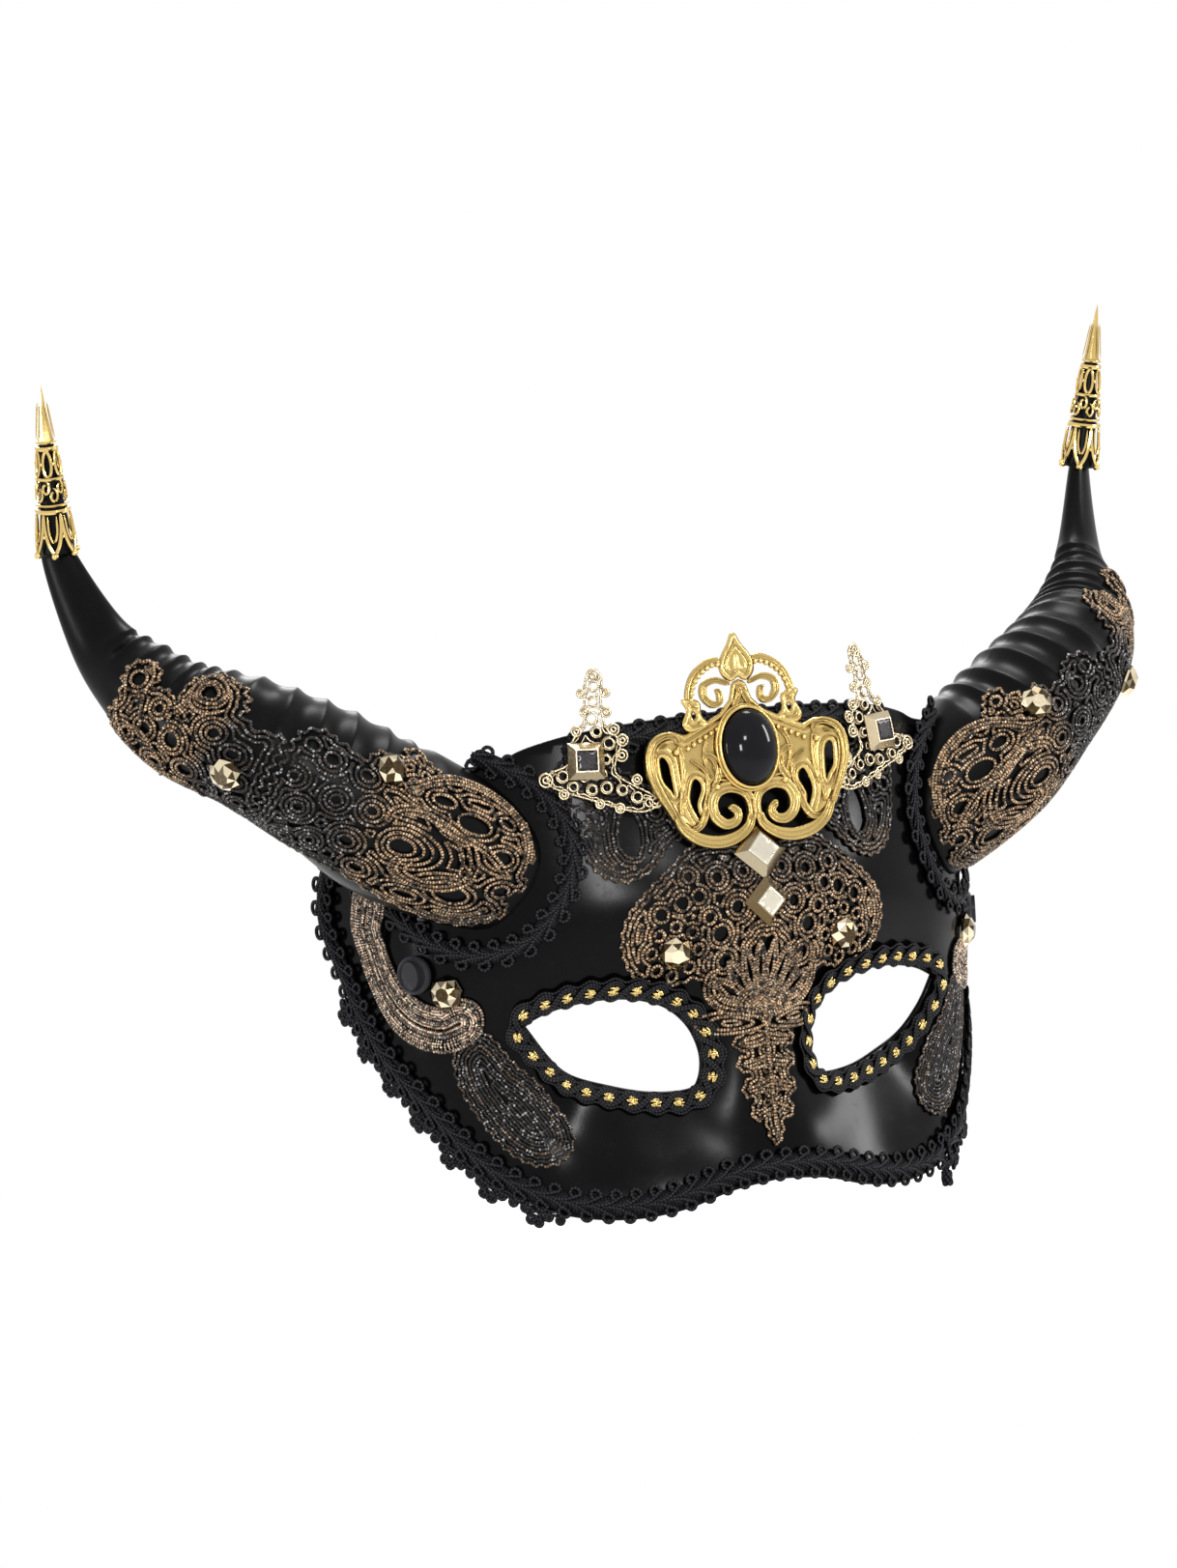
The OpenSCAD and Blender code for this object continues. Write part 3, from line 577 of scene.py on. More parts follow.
def lace(work, surface, outline, holes, pitch, cord, side=1, tint=None, h=0.6, frill=0.5):
    """Fills a pierced outline with rows of corded stitches that follow its edges. frill is
    how far its edge scallops in and out, and tint gives the thread from place and row."""
    outline = smooth(outline, FRILL_STEP, closed=True)
    n = len(outline)
    turns = max(int(n * FRILL_STEP / FRILL_LENGTH), 3)
    wave = np.sin(2 * np.pi * turns * np.arange(n) / n)[:, None]
    outline = outline + frill * (sideways(outline, True) * wave)
    step = FIELD_STEP
    low, high = outline.min(axis=0) - 1, outline.max(axis=0) + 1
    size = np.ceil((high - low) / step).astype(int) + 1
    grid = np.stack(np.meshgrid(*(low[k] + step * np.arange(size[k]) for k in (0, 1)),
                                indexing="ij"), axis=-1)
    field = room(grid.reshape(-1, 2), outline, holes).reshape(size)
    level, row = 0.5 * pitch, 0
    while level < field.max():
        for loop in rings_at(field, low, step, level):
            if len(loop) <= SHORTEST_ROW:
                continue
            path = walk(evened(loop, 2), STITCH_STEP, closed=True)
            if len(path) < SHORTEST_ROW:
                continue
            shade = 0.5 if tint is None else tint(path, row)
            swell = 0.06 * np.sin(path[:, 0] * 3.1 + path[:, 1] * 2.3)
            sweep(work, surface, path * [side, 1], h + 0.05 * (row % 2), cord + swell,
                  cord * 0.85, closed=True, tint=shade)
        level += pitch
        row += 1


def panel(work, surface, outline, holes, step, top, under, side=1, rim=3):
    """Plate cut to a pierced outline, with a rounded edge of rim strips. top gives the height
    of its face from the distance to the edge and the place, and under is its back's height."""
    loops = [np.asarray(outline, float)] + [np.asarray(hole, float) for hole in holes]
    edge = np.vstack(loops)
    low, high = loops[0].min(axis=0), loops[0].max(axis=0)
    grid = np.stack(np.meshgrid(*(np.arange(low[k], high[k], step) for k in (0, 1)),
                                indexing="ij"), axis=-1)
    grid[:, ::2, 0] += step / 2
    grid = grid.reshape(-1, 2)
    grid = grid[room(grid, loops[0], loops[1:]) > 0.55 * step]
    flat = np.vstack([edge, grid])
    links, start = [], 0
    for loop in loops:
        k = np.arange(len(loop))
        links += [(start + int(i), start + int((i + 1) % len(loop))) for i in k]
        start += len(loop)
    points, _, faces, *_ = delaunay_2d_cdt([Vector(p) for p in flat], links, [], 0, 1e-5)
    points = np.array([list(p) for p in points])
    tris = np.array([list(f) for f in faces if len(f) == 3])
    tris = tris[room(points[tris].mean(axis=1), loops[0], loops[1:]) > 0]
    a, b, c = (points[tris[:, k]] for k in range(3))
    turn = (b - a)[:, 0] * (c - a)[:, 1] - (b - a)[:, 1] * (c - a)[:, 0]
    tris = np.where(turn[:, None] * side > 0, tris, tris[:, ::-1])
    used, tris = np.unique(tris, return_inverse=True)
    tris, points = tris.reshape(-1, 3), points[used]
    d = np.maximum(room(points, loops[0], loops[1:]), 0)
    height = np.broadcast_to(np.asarray(top(d, points), float), len(points))
    base = np.broadcast_to(np.asarray(under, float), len(points))
    n = len(points)
    hand = np.array([side, 1])
    front, normal = surface.lay(points * hand, height)
    back, _ = surface.lay(points * hand, base)
    ends = np.concatenate([tris[:, [0, 1]], tris[:, [1, 2]], tris[:, [2, 0]]])
    key = {(int(a), int(b)) for a, b in ends}
    border = np.array([e for e in ends if (int(e[1]), int(e[0])) not in key])
    out = np.zeros((n, 3))
    run = unit(front[border[:, 1]] - front[border[:, 0]])
    away = np.cross(run, normal[border[:, 0]])
    for k in (0, 1):
        np.add.at(out, border[:, k], away)
    out = unit(out)
    layers, bulge = [front], 0.5 * abs(height - base)
    for k in range(1, rim):
        w = math.pi * k / rim
        mix = 0.5 - 0.5 * math.cos(w)
        layers.append(front * (1 - mix) + back * mix + out * (bulge * math.sin(w))[:, None])
    layers.append(back)
    edge_ids = np.unique(border)
    slot = np.full(n, -1)
    slot[edge_ids] = np.arange(len(edge_ids))
    m = len(edge_ids)
    between = [2 * n + k * m + np.arange(m) for k in range(rim - 1)]
    ids = [np.arange(n)] + between + [n + np.arange(n)]
    strip = []
    for k in range(rim):
        hi = ids[k][border] if k == 0 else ids[k][slot[border]]
        lo = ids[k + 1][border] if k == rim - 1 else ids[k + 1][slot[border]]
        strip.append(np.stack([hi[:, 1], hi[:, 0], lo[:, 0], lo[:, 1]], axis=-1))
    work.add(np.vstack([front, back] + [layer[edge_ids] for layer in layers[1:-1]]),
             quads=np.vstack(strip), tris=np.vstack([tris, tris[:, ::-1] + n]))


# ---------- finishes ----------

class Nodes:
    """Short ways to add nodes to a tree."""

    def __init__(self, tree):
        self.tree = tree

    def node(self, kind, into=None, **settings):
        n = self.tree.nodes.new(kind)
        for key, value in settings.items():
            setattr(n, key, value)
        for key, value in (into or {}).items():
            if isinstance(value, bpy.types.NodeSocket):
                self.tree.links.new(value, n.inputs[key])
            else:
                n.inputs[key].default_value = value
        return n

    def math(self, what, a, b=0.0, c=0.0):
        return self.node("ShaderNodeMath", {0: a, 1: b, 2: c}, operation=what).outputs[0]

    def seen(self):
        """1 on rays from the camera, straight, mirrored or through glass, 0 on others."""
        ray = self.node("ShaderNodeLightPath").outputs
        seen = self.math("MAXIMUM", ray["Is Camera Ray"], ray["Is Glossy Ray"])
        return self.math("MAXIMUM", seen, ray["Is Transmission Ray"])


class Finish(Nodes):
    """A material built from nodes."""

    def __init__(self, name):
        self.material = bpy.data.materials.new(name)
        self.material.use_nodes = True
        super().__init__(self.material.node_tree)
        self.shader = self.tree.nodes["Principled BSDF"]
        self.spots = self.node("ShaderNodeTexCoord").outputs["Object"]

    def yarn(self):
        """Length along the yarn, share of the way round it, and how bronze it is."""
        place = self.node("ShaderNodeAttribute", attribute_name="yarn").outputs["Vector"]
        return self.node("ShaderNodeSeparateXYZ", {0: place}).outputs

    def noise(self, per_mm, detail=3.0, rough=0.55):
        into = {"Vector": self.spots, "Scale": per_mm * 1000.0, "Detail": detail,
                "Roughness": rough}
        return self.node("ShaderNodeTexNoise", into).outputs["Fac"]

    def spread(self, value, low, high, to_low=0.0, to_high=1.0):
        return self.node("ShaderNodeMapRange", {"Value": value, "From Min": low, "From Max": high,
                                                "To Min": to_low, "To Max": to_high}).outputs[0]

    def blend(self, share, a, b):
        """Colour a where share is 0 and b where it is 1; 6, 7 and 2 are the colour sockets."""
        return self.node("ShaderNodeMix", {0: share, 6: a, 7: b}, data_type="RGBA").outputs[2]

    def set(self, **values):
        for key, value in values.items():
            socket = self.shader.inputs[key.replace("_", " ")]
            if isinstance(value, bpy.types.NodeSocket):
                self.tree.links.new(value, socket)
            else:
                socket.default_value = value

    def bump(self, height, depth_mm, strength=1.0, after=None):
        into = {"Height": height, "Distance": depth_mm * MM, "Strength": strength}
        if after is not None:
            into["Normal"] = after
        n = self.node("ShaderNodeBump", into).outputs[0]
        self.tree.links.new(n, self.shader.inputs["Normal"])
        return n


def rgba(colour, share=1.0):
    return tuple(c * share for c in colour[:3]) + (1.0,)


def moulded_plastic(name, colour, gloss):
    """Black moulded plastic with a faint ripple, a fine grain and paler scuffs."""
    f = Finish(name)
    ripple, grain = f.noise(0.035, 2.0), f.noise(1.6, 4.0)
    scuffs = f.spread(f.noise(0.25, 6.0, 0.7), 0.52, 0.72)
    f.set(Base_Color=f.blend(scuffs, rgba(colour), rgba(colour, 1.7)),
          Roughness=f.math("ADD", f.spread(ripple, 0.35, 0.7, gloss - 0.03, gloss + 0.05),
                           f.math("MULTIPLY", scuffs, 0.05)),
          Specular_IOR_Level=0.08)
    f.bump(grain, 0.012, 0.4, f.bump(ripple, 0.5, 0.1))
    return f.material


def plated_metal(name, colour, gloss, brushed=0.5, wear_and_highlight=1.5, hollow_shade=0.35):
    """Plated metal: soft casting grain, edges brightened by wear and by a painted highlight,
    and hollows darkened by painted shade.
    """
    f = Finish(name)
    grain, cloud = f.noise(4.0, 4.0, 0.6), f.noise(0.35, 3.0)
    edge = f.spread(f.node("ShaderNodeNewGeometry").outputs["Pointiness"], 0.505, 0.56)
    # painted shade: ambient occlusion darkens hollows and creases towards a dark brown of the
    # plating
    shade = f.node("ShaderNodeAmbientOcclusion", {"Distance": 1.1 * MM}, samples=6)
    deep = f.spread(shade.outputs["AO"], 0.35, 0.95, hollow_shade, 1.0)
    base = f.blend(cloud, rgba(colour, 0.9), rgba(colour, 1.06))
    # edges: a lighter colour for wear, together with a painted highlight along ridges and rims
    rubbed_and_lit = rgba([min(1.0, c * wear_and_highlight) for c in colour[:3]])
    base = f.blend(f.math("MULTIPLY", edge, 0.6), base, rubbed_and_lit)
    dark = f.blend(deep, rgba([c * k for c, k in zip(colour[:3], (0.22, 0.14, 0.08))]), base)
    f.set(Base_Color=dark, Metallic=1.0,
          Roughness=f.math("ADD", f.spread(grain, 0.3, 0.7, gloss, gloss + 0.14),
                           f.math("MULTIPLY", edge, -0.05)))
    f.bump(grain, 0.03, brushed)
    return f.material


def cut_metal(name, dark, bright, gloss):
    """Cut and plated studs: each facet painted in its own light, picked by its direction,
    from a dark yellowish painted shade to a bright painted reflection.
    """
    f = Finish(name)
    # painted reflection: one random tone for each facet direction, as if some facets mirrored
    # lamps and others dark surroundings
    turn = f.node("ShaderNodeNewGeometry").outputs["True Normal"]
    steps = f.node("ShaderNodeVectorMath", {0: turn, 1: (0.02, 0.02, 0.02)}, operation="SNAP")
    chance = f.node("ShaderNodeTexWhiteNoise", {"Vector": steps.outputs[0]}).outputs["Value"]
    grain = f.noise(2.5, 3.0)
    tone = f.math("ADD", f.spread(chance, 0.35, 0.75), f.spread(grain, 0.3, 0.7, -0.08, 0.08))
    f.set(Base_Color=f.blend(tone, rgba(dark), rgba(bright)), Metallic=1.0,
          Roughness=f.spread(grain, 0.3, 0.7, gloss, gloss + 0.06))
    f.bump(grain, 0.02, 0.15)
    return f.material


def glass_stone(name, colour):
    """Polished jet: black with a clear deep gloss and the faintest swirl."""
    f = Finish(name)
    swirl = f.noise(0.2, 3.0)
    f.set(Base_Color=f.blend(swirl, rgba(colour), rgba(colour, 2.5)),
          Roughness=f.spread(swirl, 0.3, 0.7, 0.06, 0.1), Specular_IOR_Level=0.16)
    f.bump(f.noise(0.12, 1.0), 0.1, 0.15)
    return f.material


def crest(f, around, low):
    """How near the top of a cord a place is, from its share of the way round the cord: 1 at
    the top, and 0 where the cosine of the turn from the top falls to low."""
    return f.spread(f.math("COSINE", f.math("MULTIPLY", around, 2 * math.pi)), -low, -1.0)


def corded_yarn(name, colour, light, gloss, pitch, twist):
    """Rayon cord: fine slanted plies, with a satin highlight painted along the top of each cord
    and its sides painted dark as shade.
    """
    f = Finish(name)
    along, around, _ = f.yarn()
    slant = f.math("ADD", f.math("MULTIPLY", along, 2 * math.pi / pitch),
                   f.math("MULTIPLY", around, 2 * math.pi * twist))
    ply = f.math("ABSOLUTE", f.math("SINE", f.math("MULTIPLY", slant, 0.5)))
    fuzz = f.noise(6.0, 3.0, 0.7)
    cloud = f.noise(0.3, 2.0)
    # painted highlight and shade: the plies take the shine colour only near the top of each cord
    lit = f.math("MULTIPLY", ply, crest(f, around, 0.5))
    tone = f.math("MULTIPLY", lit, f.spread(fuzz, 0.3, 0.75))
    shine = f.blend(cloud, rgba(light, 0.7), rgba(light, 1.2))
    f.set(Base_Color=f.blend(tone, rgba(colour), shine),
          Roughness=f.spread(fuzz, 0.3, 0.7, gloss, gloss + 0.2), Specular_IOR_Level=0.045)
    f.bump(fuzz, 0.05, 0.4, f.bump(ply, 0.11, 0.8))
    return f.material


STITCH = 0.8             # length of one wrap of metallic strand on a lace cord


def lace_thread(name, black, bronze, painted_glint, gloss=0.42):
    """Satin-stitched lace: black thread crossed by metallic strands, whose specks carry painted
    highlights one by one, with painted shade on the sides of each cord.
    """
    f = Finish(name)
    along, around, tone = f.yarn()
    wobble = f.math("MULTIPLY", f.noise(1.6, 2.0), 5.0)
    wave = f.math("ADD", wobble, f.math("MULTIPLY", along, 2 * math.pi / STITCH))
    stitch = f.spread(f.math("SINE", wave), -1.0, 1.0)
    speck = f.node("ShaderNodeTexVoronoi", {"Vector": f.spots, "Scale": 1700.0})
    chance = f.node("ShaderNodeSeparateColor", {0: speck.outputs["Color"]})
    cloud = f.spread(f.noise(0.16, 4.0, 0.6), 0.3, 0.7)
    metal = f.spread(f.math("ADD", f.math("MULTIPLY", chance.outputs[0], 0.75),
                            f.math("MULTIPLY", cloud, 0.35)), 0.28, 0.6)
    # painted reflection: each speck of strand is darker or lighter at random, as if turned
    # towards the light or away; the brightest take a painted sparkle colour
    strand = f.blend(chance.outputs[1], rgba(bronze, 0.25), rgba(bronze, 1.5))
    strand = f.blend(f.spread(chance.outputs[2], 0.76, 0.86), strand, rgba(painted_glint))
    # painted highlight: a few specks of black thread turn pale as painted sparkles
    painted_grey_sparkle = f.blend(f.spread(chance.outputs[2], 0.74, 0.86), rgba([0.02, 0.019, 0.02]),
                   rgba([0.42, 0.41, 0.43]))
    lit = f.blend(tone, painted_grey_sparkle, strand)
    share = f.math("MULTIPLY", metal, f.spread(stitch, 0.0, 0.7, 0.06, 1.0))
    # painted shade: the metallic colour fades away from the top of each cord, leaving its sides
    # black
    share = f.math("MULTIPLY", share, f.spread(crest(f, around, 0.0), 0.0, 0.7, 0.15, 1.0))
    f.set(Base_Color=f.blend(share, rgba(black), lit),
          Metallic=f.math("MULTIPLY", share, 0.6), Specular_IOR_Level=0.25,
          Roughness=f.spread(chance.outputs[0], 0.0, 1.0, gloss - 0.1, gloss + 0.14))
    f.bump(speck.outputs["Distance"], 0.12, 0.6, f.bump(stitch, 0.14, 0.9))
    return f.material


# ---------- settings ----------

def length(name, description, default):
    return bpy.props.FloatProperty(name=name, description=description, default=default,
                                   min=0.0, unit="LENGTH", subtype="DISTANCE")


def colour(name, description, default):
    return bpy.props.FloatVectorProperty(name=name, description=description, default=default,
                                         size=3, min=0.0, max=1.0, subtype="COLOR")


def light(name, description, default):
    return bpy.props.FloatProperty(name=name, description=description, default=default, min=0.0)


class MaskSizes(bpy.types.PropertyGroup):
    half_width: length("Half width", "Half the width of the face across the temples", 0.086)
    face_depth: length("Face depth", "Depth from the brow back to the temples", 0.054)
    shell_wall: length("Shell wall", "Thickness of the moulded face", 0.0016)
    top_height: length("Top height", "Height of the top edge above the eye line", 0.0795)
    cheek_drop: length("Cheek drop", "Drop of the cheeks below the eye line", 0.0465)
    socket_depth: length("Socket depth", "Depth of the eye sockets", 0.008)
    eye_width: length("Eye width", "Width of one eye hole", 0.0457)
    eye_height: length("Eye height", "Height of one eye hole", 0.0259)
    eye_inset: length("Eye inset", "Nose line to the inner corner of an eye", 0.0158)
    horn_root_r: length("Horn radius", "Radius of a horn where it leaves the face", 0.0245)
    horn_wall: length("Horn wall", "Thickness of the horn wall", 0.0016)
    rib_depth: length("Rib depth", "Depth of the ribs on a horn", 0.0011)
    rib_count: bpy.props.IntProperty(name="Ribs", description="Number of ribs on a horn",
                                     default=13, min=4, max=30)
    cap_r: length("Cap radius", "Radius of a horn cap at its open end", 0.0053)
    cap_length: length("Cap length", "Length of a horn cap", 0.044)
    plate_t: length("Plate", "Thickness of the stamped crown and corner pieces", 0.0008)
    stone_w: length("Stone width", "Width of the cabochon", 0.0156)
    stone_h: length("Stone height", "Height of the cabochon", 0.0196)
    stone_rise: length("Stone rise", "How far the cabochon stands out of its cup", 0.0046)


class TrimSizes(bpy.types.PropertyGroup):
    gimp_width: length("Gimp width", "Width of the gimp round the edge", 0.0092)
    gimp_pitch: length("Gimp pitch", "Distance from one curl of the gimp to the next", 0.0056)
    gimp_cord: length("Gimp cord", "Radius of a cord of the gimp", 0.00056)
    eye_trim_pitch: length("Knot pitch", "Distance between knots round the eyes", 0.0062)
    eye_trim_width: length("Eye trim width", "Width of the trim round the eyes", 0.0056)
    lace_pitch: length("Lace pitch", "Distance between rows of the lace", 0.00112)
    lace_cord: length("Lace cord", "Radius of a corded row of the lace", 0.00048)


class Colours(bpy.types.PropertyGroup):
    shell: colour("Shell", "Moulded plastic of the face", (0.0016, 0.0016, 0.0019))
    horn: colour("Horns", "Moulded plastic of the horns", (0.0026, 0.0025, 0.0028))
    gold: colour("Gold", "Plating of the crown and horn caps", (0.53, 0.385, 0.14))
    pale_gold: colour("Pale gold", "Plating of the corner pieces", (0.4, 0.33, 0.215))
    # also the bright end of the studs' painted facet reflections
    stud: colour("Studs", "Bright plating of the studs", (0.8, 0.69, 0.48))
    dark_mirror: colour("Dark mirror", "Top of a corner stud", (0.035, 0.033, 0.034))
    jet: colour("Jet", "The cabochon", (0.002, 0.002, 0.003))
    gimp: colour("Gimp", "Black rayon cord", (0.001, 0.001, 0.0012))
    # the colour of the painted highlight along the gimp's plies
    gimp_shine: colour("Gimp shine", "Light along the cord's plies", (0.1, 0.1, 0.108))
    thread: colour("Black thread", "Black thread of the lace", (0.0028, 0.0026, 0.0026))
    bronze: colour("Bronze thread", "Metallic bronze thread", (0.62, 0.4, 0.228))
    bright_bronze: colour("Light thread", "Metallic thread of the crescents", (0.9, 0.65, 0.47))


class StageSettings(bpy.types.PropertyGroup):
    camera_place: bpy.props.FloatVectorProperty(
        name="Camera", description="Where the camera stands", size=3, subtype="TRANSLATION",
        unit="LENGTH", default=(-0.8172, -1.5178, 0.065))
    camera_back: bpy.props.FloatVectorProperty(
        name="Back", description="Direction from the mask to the camera", size=3,
        subtype="XYZ", default=(-0.454, -0.891, 0.0))
    camera_roll: bpy.props.FloatProperty(
        name="Roll", description="Turn of the camera about its own line of sight",
        unit="ROTATION", subtype="ANGLE", default=math.radians(6.1))
    lens: bpy.props.FloatProperty(
        name="Lens", description="Focal length, in millimetres, on a 36 mm sensor",
        default=153.6, min=20.0)
    floor_gap: length("Floor gap", "Gap between the lowest trim and the floor", 0.0005)
    key_power: light("Key", "Power shared by the two front lamps, in watts", 6.0)
    fill_power: light("Fill", "Power of each side lamp, in watts", 5.0)
    top_power: light("Top", "Power of the overhead lamp, in watts", 6.0)
    back_power: light("Back", "Power of the lamp behind the mask, in watts", 3.0)
    world_strength: light("Surround", "Light from all round", 0.4)


def settings_in(group):
    """Names of the settings in a group."""
    return [key for key in group.bl_rna.properties.keys() if key not in ("rna_type", "name")]


def in_mm(group):
    """The lengths of a settings group in millimetres, and its other numbers as they are."""
    values = {key: getattr(group, key) for key in settings_in(group)}
    return {key: v * 1000 if isinstance(v, float) else v for key, v in values.items()}


def bench(context):
    """The working surfaces and sizes that every operator needs."""
    scene = context.scene
    s, t = in_mm(scene.mask_sizes), in_mm(scene.trim_sizes)
    face = Face(s)
    horns = {"left": Horn(s, face, -1, 0), "right": Horn(s, face, 1, RIGHT_SHIFT)}
    return s, t, scene.mask_colours, face, horns


SIDES = {"left": -1, "right": 1}
RIGHT_SHIFT = 5          # the right horn stands this many degrees further out
TRIM_LO = 0.8            # height over the face at which gimp and braid start
PLATE_LO = 2.7           # and stamped plates
STORE = {}


def finish(key, maker, colour, **how):
    """A shared finish, made the first time it is asked for."""
    if key not in STORE:
        STORE[key] = maker(key, colour, **how)
    return STORE[key]


def finishes(c):
    """What makes each finish, by the short name that the operators use."""
    makers = {
        "shell": ("moulded_shell", moulded_plastic, c.shell, dict(gloss=0.18)),
        "horn": ("moulded_horn", moulded_plastic, c.horn, dict(gloss=0.3)),
        "gold": ("matt_gold", plated_metal, c.gold,
                 dict(gloss=0.2, brushed=0.4, wear_and_highlight=1.5, hollow_shade=0.1)),
        "cap_gold": ("bright_gold", plated_metal, [0.8 * k for k in c.gold],
                     dict(gloss=0.14, brushed=0.5, wear_and_highlight=2.2, hollow_shade=0.2)),
        "pale_gold": ("pale_gold_plate", plated_metal, c.pale_gold, dict(gloss=0.16)),
        # studs: the first colour is the painted shade of dark facets, the bright one their
        # painted reflection
        "stud": ("stud_plate", cut_metal, (0.05, 0.032, 0.014),
                 dict(bright=list(c.stud), gloss=0.07)),
        # diamond sides: a darker copy of the stud plating, painted shade
        "brass": ("brass_sides", cut_metal, (0.16, 0.11, 0.05),
                  dict(bright=[0.6 * k for k in c.stud], gloss=0.12)),
        # diamond tops: a pale copy of the plating, a painted highlight as if lit
        "pale_top": ("pale_top_plate", plated_metal, (0.72, 0.66, 0.54),
                     dict(gloss=0.12, brushed=0.15)),
        "dark_mirror": ("dark_mirror_plate", plated_metal, c.dark_mirror,
                        dict(gloss=0.08, brushed=0.1)),
        "jet": ("polished_jet", glass_stone, c.jet, {}),
        "gimp": ("rayon_gimp", corded_yarn, c.gimp,
                 dict(light=list(c.gimp_shine), gloss=0.34, pitch=0.9, twist=1)),
        "bronze": ("bronze_lace_thread", lace_thread, c.thread,
                   dict(bronze=list(c.bronze), painted_glint=(0.8, 0.62, 0.42))),
        "light": ("light_lace_thread", lace_thread, c.thread,
                  dict(bronze=list(c.bright_bronze), painted_glint=(0.98, 0.85, 0.68))),
        "button": ("button_plastic", moulded_plastic, (0.03, 0.03, 0.034), dict(gloss=0.16)),
    }
    return {short: functools.partial(finish, key, maker, list(colour), **how)
            for short, (key, maker, colour, how) in makers.items()}


# ---------- the pieces ----------

class MaskPiece:
    """What the operators share: each builds its pieces in build() and is undone as one step."""
    bl_options = {"REGISTER", "UNDO"}

    def execute(self, context):
        s, t, c, face, horns = bench(context)
        self.s, self.t, self.face, self.horns, self.fin = s, t, face, horns, finishes(c)
        self.build()
        return {"FINISHED"}


class MASK_OT_face_shell(MaskPiece, bpy.types.Operator):
    """Moulded face: one smooth sheet cut to its outline, with rounded rims and two eye holes"""
    bl_idname = "mask.face_shell"
    bl_label = "Face shell"

    def build(self):
        face = self.face
        across = np.linspace(-WING_END, WING_END, 260)
        low = np.column_stack([across, face.bottom_z(across)])
        high = np.column_stack([across[::-1], face.top_z(across[::-1])])
        outline = walk(face.flat(np.vstack([low, high])), 1.3, closed=True)
        holes = [walk(face.flat(face.eye_bz(side)), 1.0, closed=True) for side in (-1, 1)]
        work = Work()
        panel(work, face, outline, holes, 2.0, lambda d, p: 0 * d, -self.s["shell_wall"], rim=4)
        work.make("face_shell_skin", self.fin["shell"](), replaces=["face_shell"])


class MASK_OT_horns(MaskPiece, bpy.types.Operator):
    """Two hollow horns, each moulded in a front and a back half, ribbed on the upper side"""
    bl_idname = "mask.horns"
    bl_label = "Horns"

    def build(self):
        t = np.concatenate([np.linspace(0, 0.12, 22)[:-1], np.linspace(0.12, 0.72, 210)[:-1],
                            np.linspace(0.72, 1, 40)])
        for side, horn in self.horns.items():
            for part, a0 in (("front", -90), ("back", 90)):
                a = a0 + np.linspace(0, 180, 31)
                tt, aa = np.meshgrid(t, a, indexing="ij")
                seam = np.zeros(31)
                seam[[0, -1]] = -0.02
                outer = horn.at(tt, aa, seam * np.ones_like(tt))
                deep = np.minimum(self.s["horn_wall"], 0.25 * horn.radius(tt))
                deep = deep * (0.12 + 0.88 * ease(tt / 0.1))
                inner = outer - deep[..., None] * horn.normal(tt, aa)
                work = Work()
                wall(work, outer, inner, flip=side == "left")
                work.make(f"{side}_horn_{part}_skin", self.fin["horn"](),
                          replaces=[f"{side}_horn_{part}"], crease=50)


GIMP_STEM = [[-6.4, 0.1], [-4.2, 0.3], [-2.2, 0.8], [-0.6, 1.6]]   # leaves the spine


def gimp(work, surface, path, width, t, side=1):
    """Scroll gimp: two rows of cords that leave a plaited spine and curl back on themselves."""
    guide = Guide(np.asarray(path) * [side, 1])
    cord, half, low = t["gimp_cord"], width / 2, TRIM_LO
    n = max(int(round(guide.length / t["gimp_pitch"])), 3)
    pitch = guide.length / n
    r = 0.33 * half
    turn = np.radians(np.arange(-8, 300, 30))
    size = r * (1 - 0.28 * (turn / turn[-1]).clip(0, 1))
    stem = np.array(GIMP_STEM + [[0.72, half - r - 0.9]])
    cell = smooth(np.vstack([stem, oval(-0.4, half - r - cord, size, size, turn)]), 0.42)
    lift = low + cord + 0.62 * bell(cell[:, 1] / 1.5) + 0.1
    ply = smooth(stem[:4] + [-1.5, 0.1], 0.6)
    for i in range(n):
        for hand in (-1, 1):
            s0 = (i + 0.5 + 0.25 * hand) * pitch
            curl = cell[cell[:, 0] + s0 > 0]
            if len(curl) > 6:
                sweep(work, surface, guide.at(s0 + curl[:, 0], hand * curl[:, 1]),
                      lift[-len(curl):], cord, cord * 0.92, tint=0.5 + 0.3 * hand)
            if s0 + ply[0, 0] > 0:
                sweep(work, surface, guide.at(s0 + ply[:, 0], hand * ply[:, 1]),
                      low + cord + 0.5 * bell(ply[:, 1] / 1.5), cord * 0.85, tint=0.4)
    for c, h in ((-0.62, 0.55), (0.0, 0.85), (0.62, 0.55)):
        k = np.arange(0, guide.length, 0.6)
        wave = 0.28 * np.sin(2 * np.pi * k / pitch + c * 3)
        sweep(work, surface, guide.at(k, c + wave), low + h, cord * 0.95)
    k = np.arange(0, guide.length, 1.0)
    sweep(work, surface, guide.at(k, 0 * k), low + 0.12, half - 1.5, 0.3)


def rim_at(face, b, inset):
    """Places a set distance inside the lower edge, on the flat pattern."""
    b = np.asarray(b, float)
    edge = lambda x: face.flat(np.column_stack([x, face.bottom_z(x)]))
    t = unit(edge(b + 0.5) - edge(b - 0.5))
    return edge(b) + inset * np.column_stack([-t[:, 1], t[:, 0]])


HORN_FOOT = [[51, 75.5], [46.5, 72.4], [40.5, 67.5], [36, 60.5], [33.6, 52], [34, 43.5],
    [38, 33.5], [45, 26], [55, 24.4], [65.5, 28.6], [76.5, 37.2], [83, 42.5], [89, 46.5]]
HORN_GIMP_WIDTH = 8.6
EDGE_INSET = 3           # from the edge of the face to the middle of its gimp


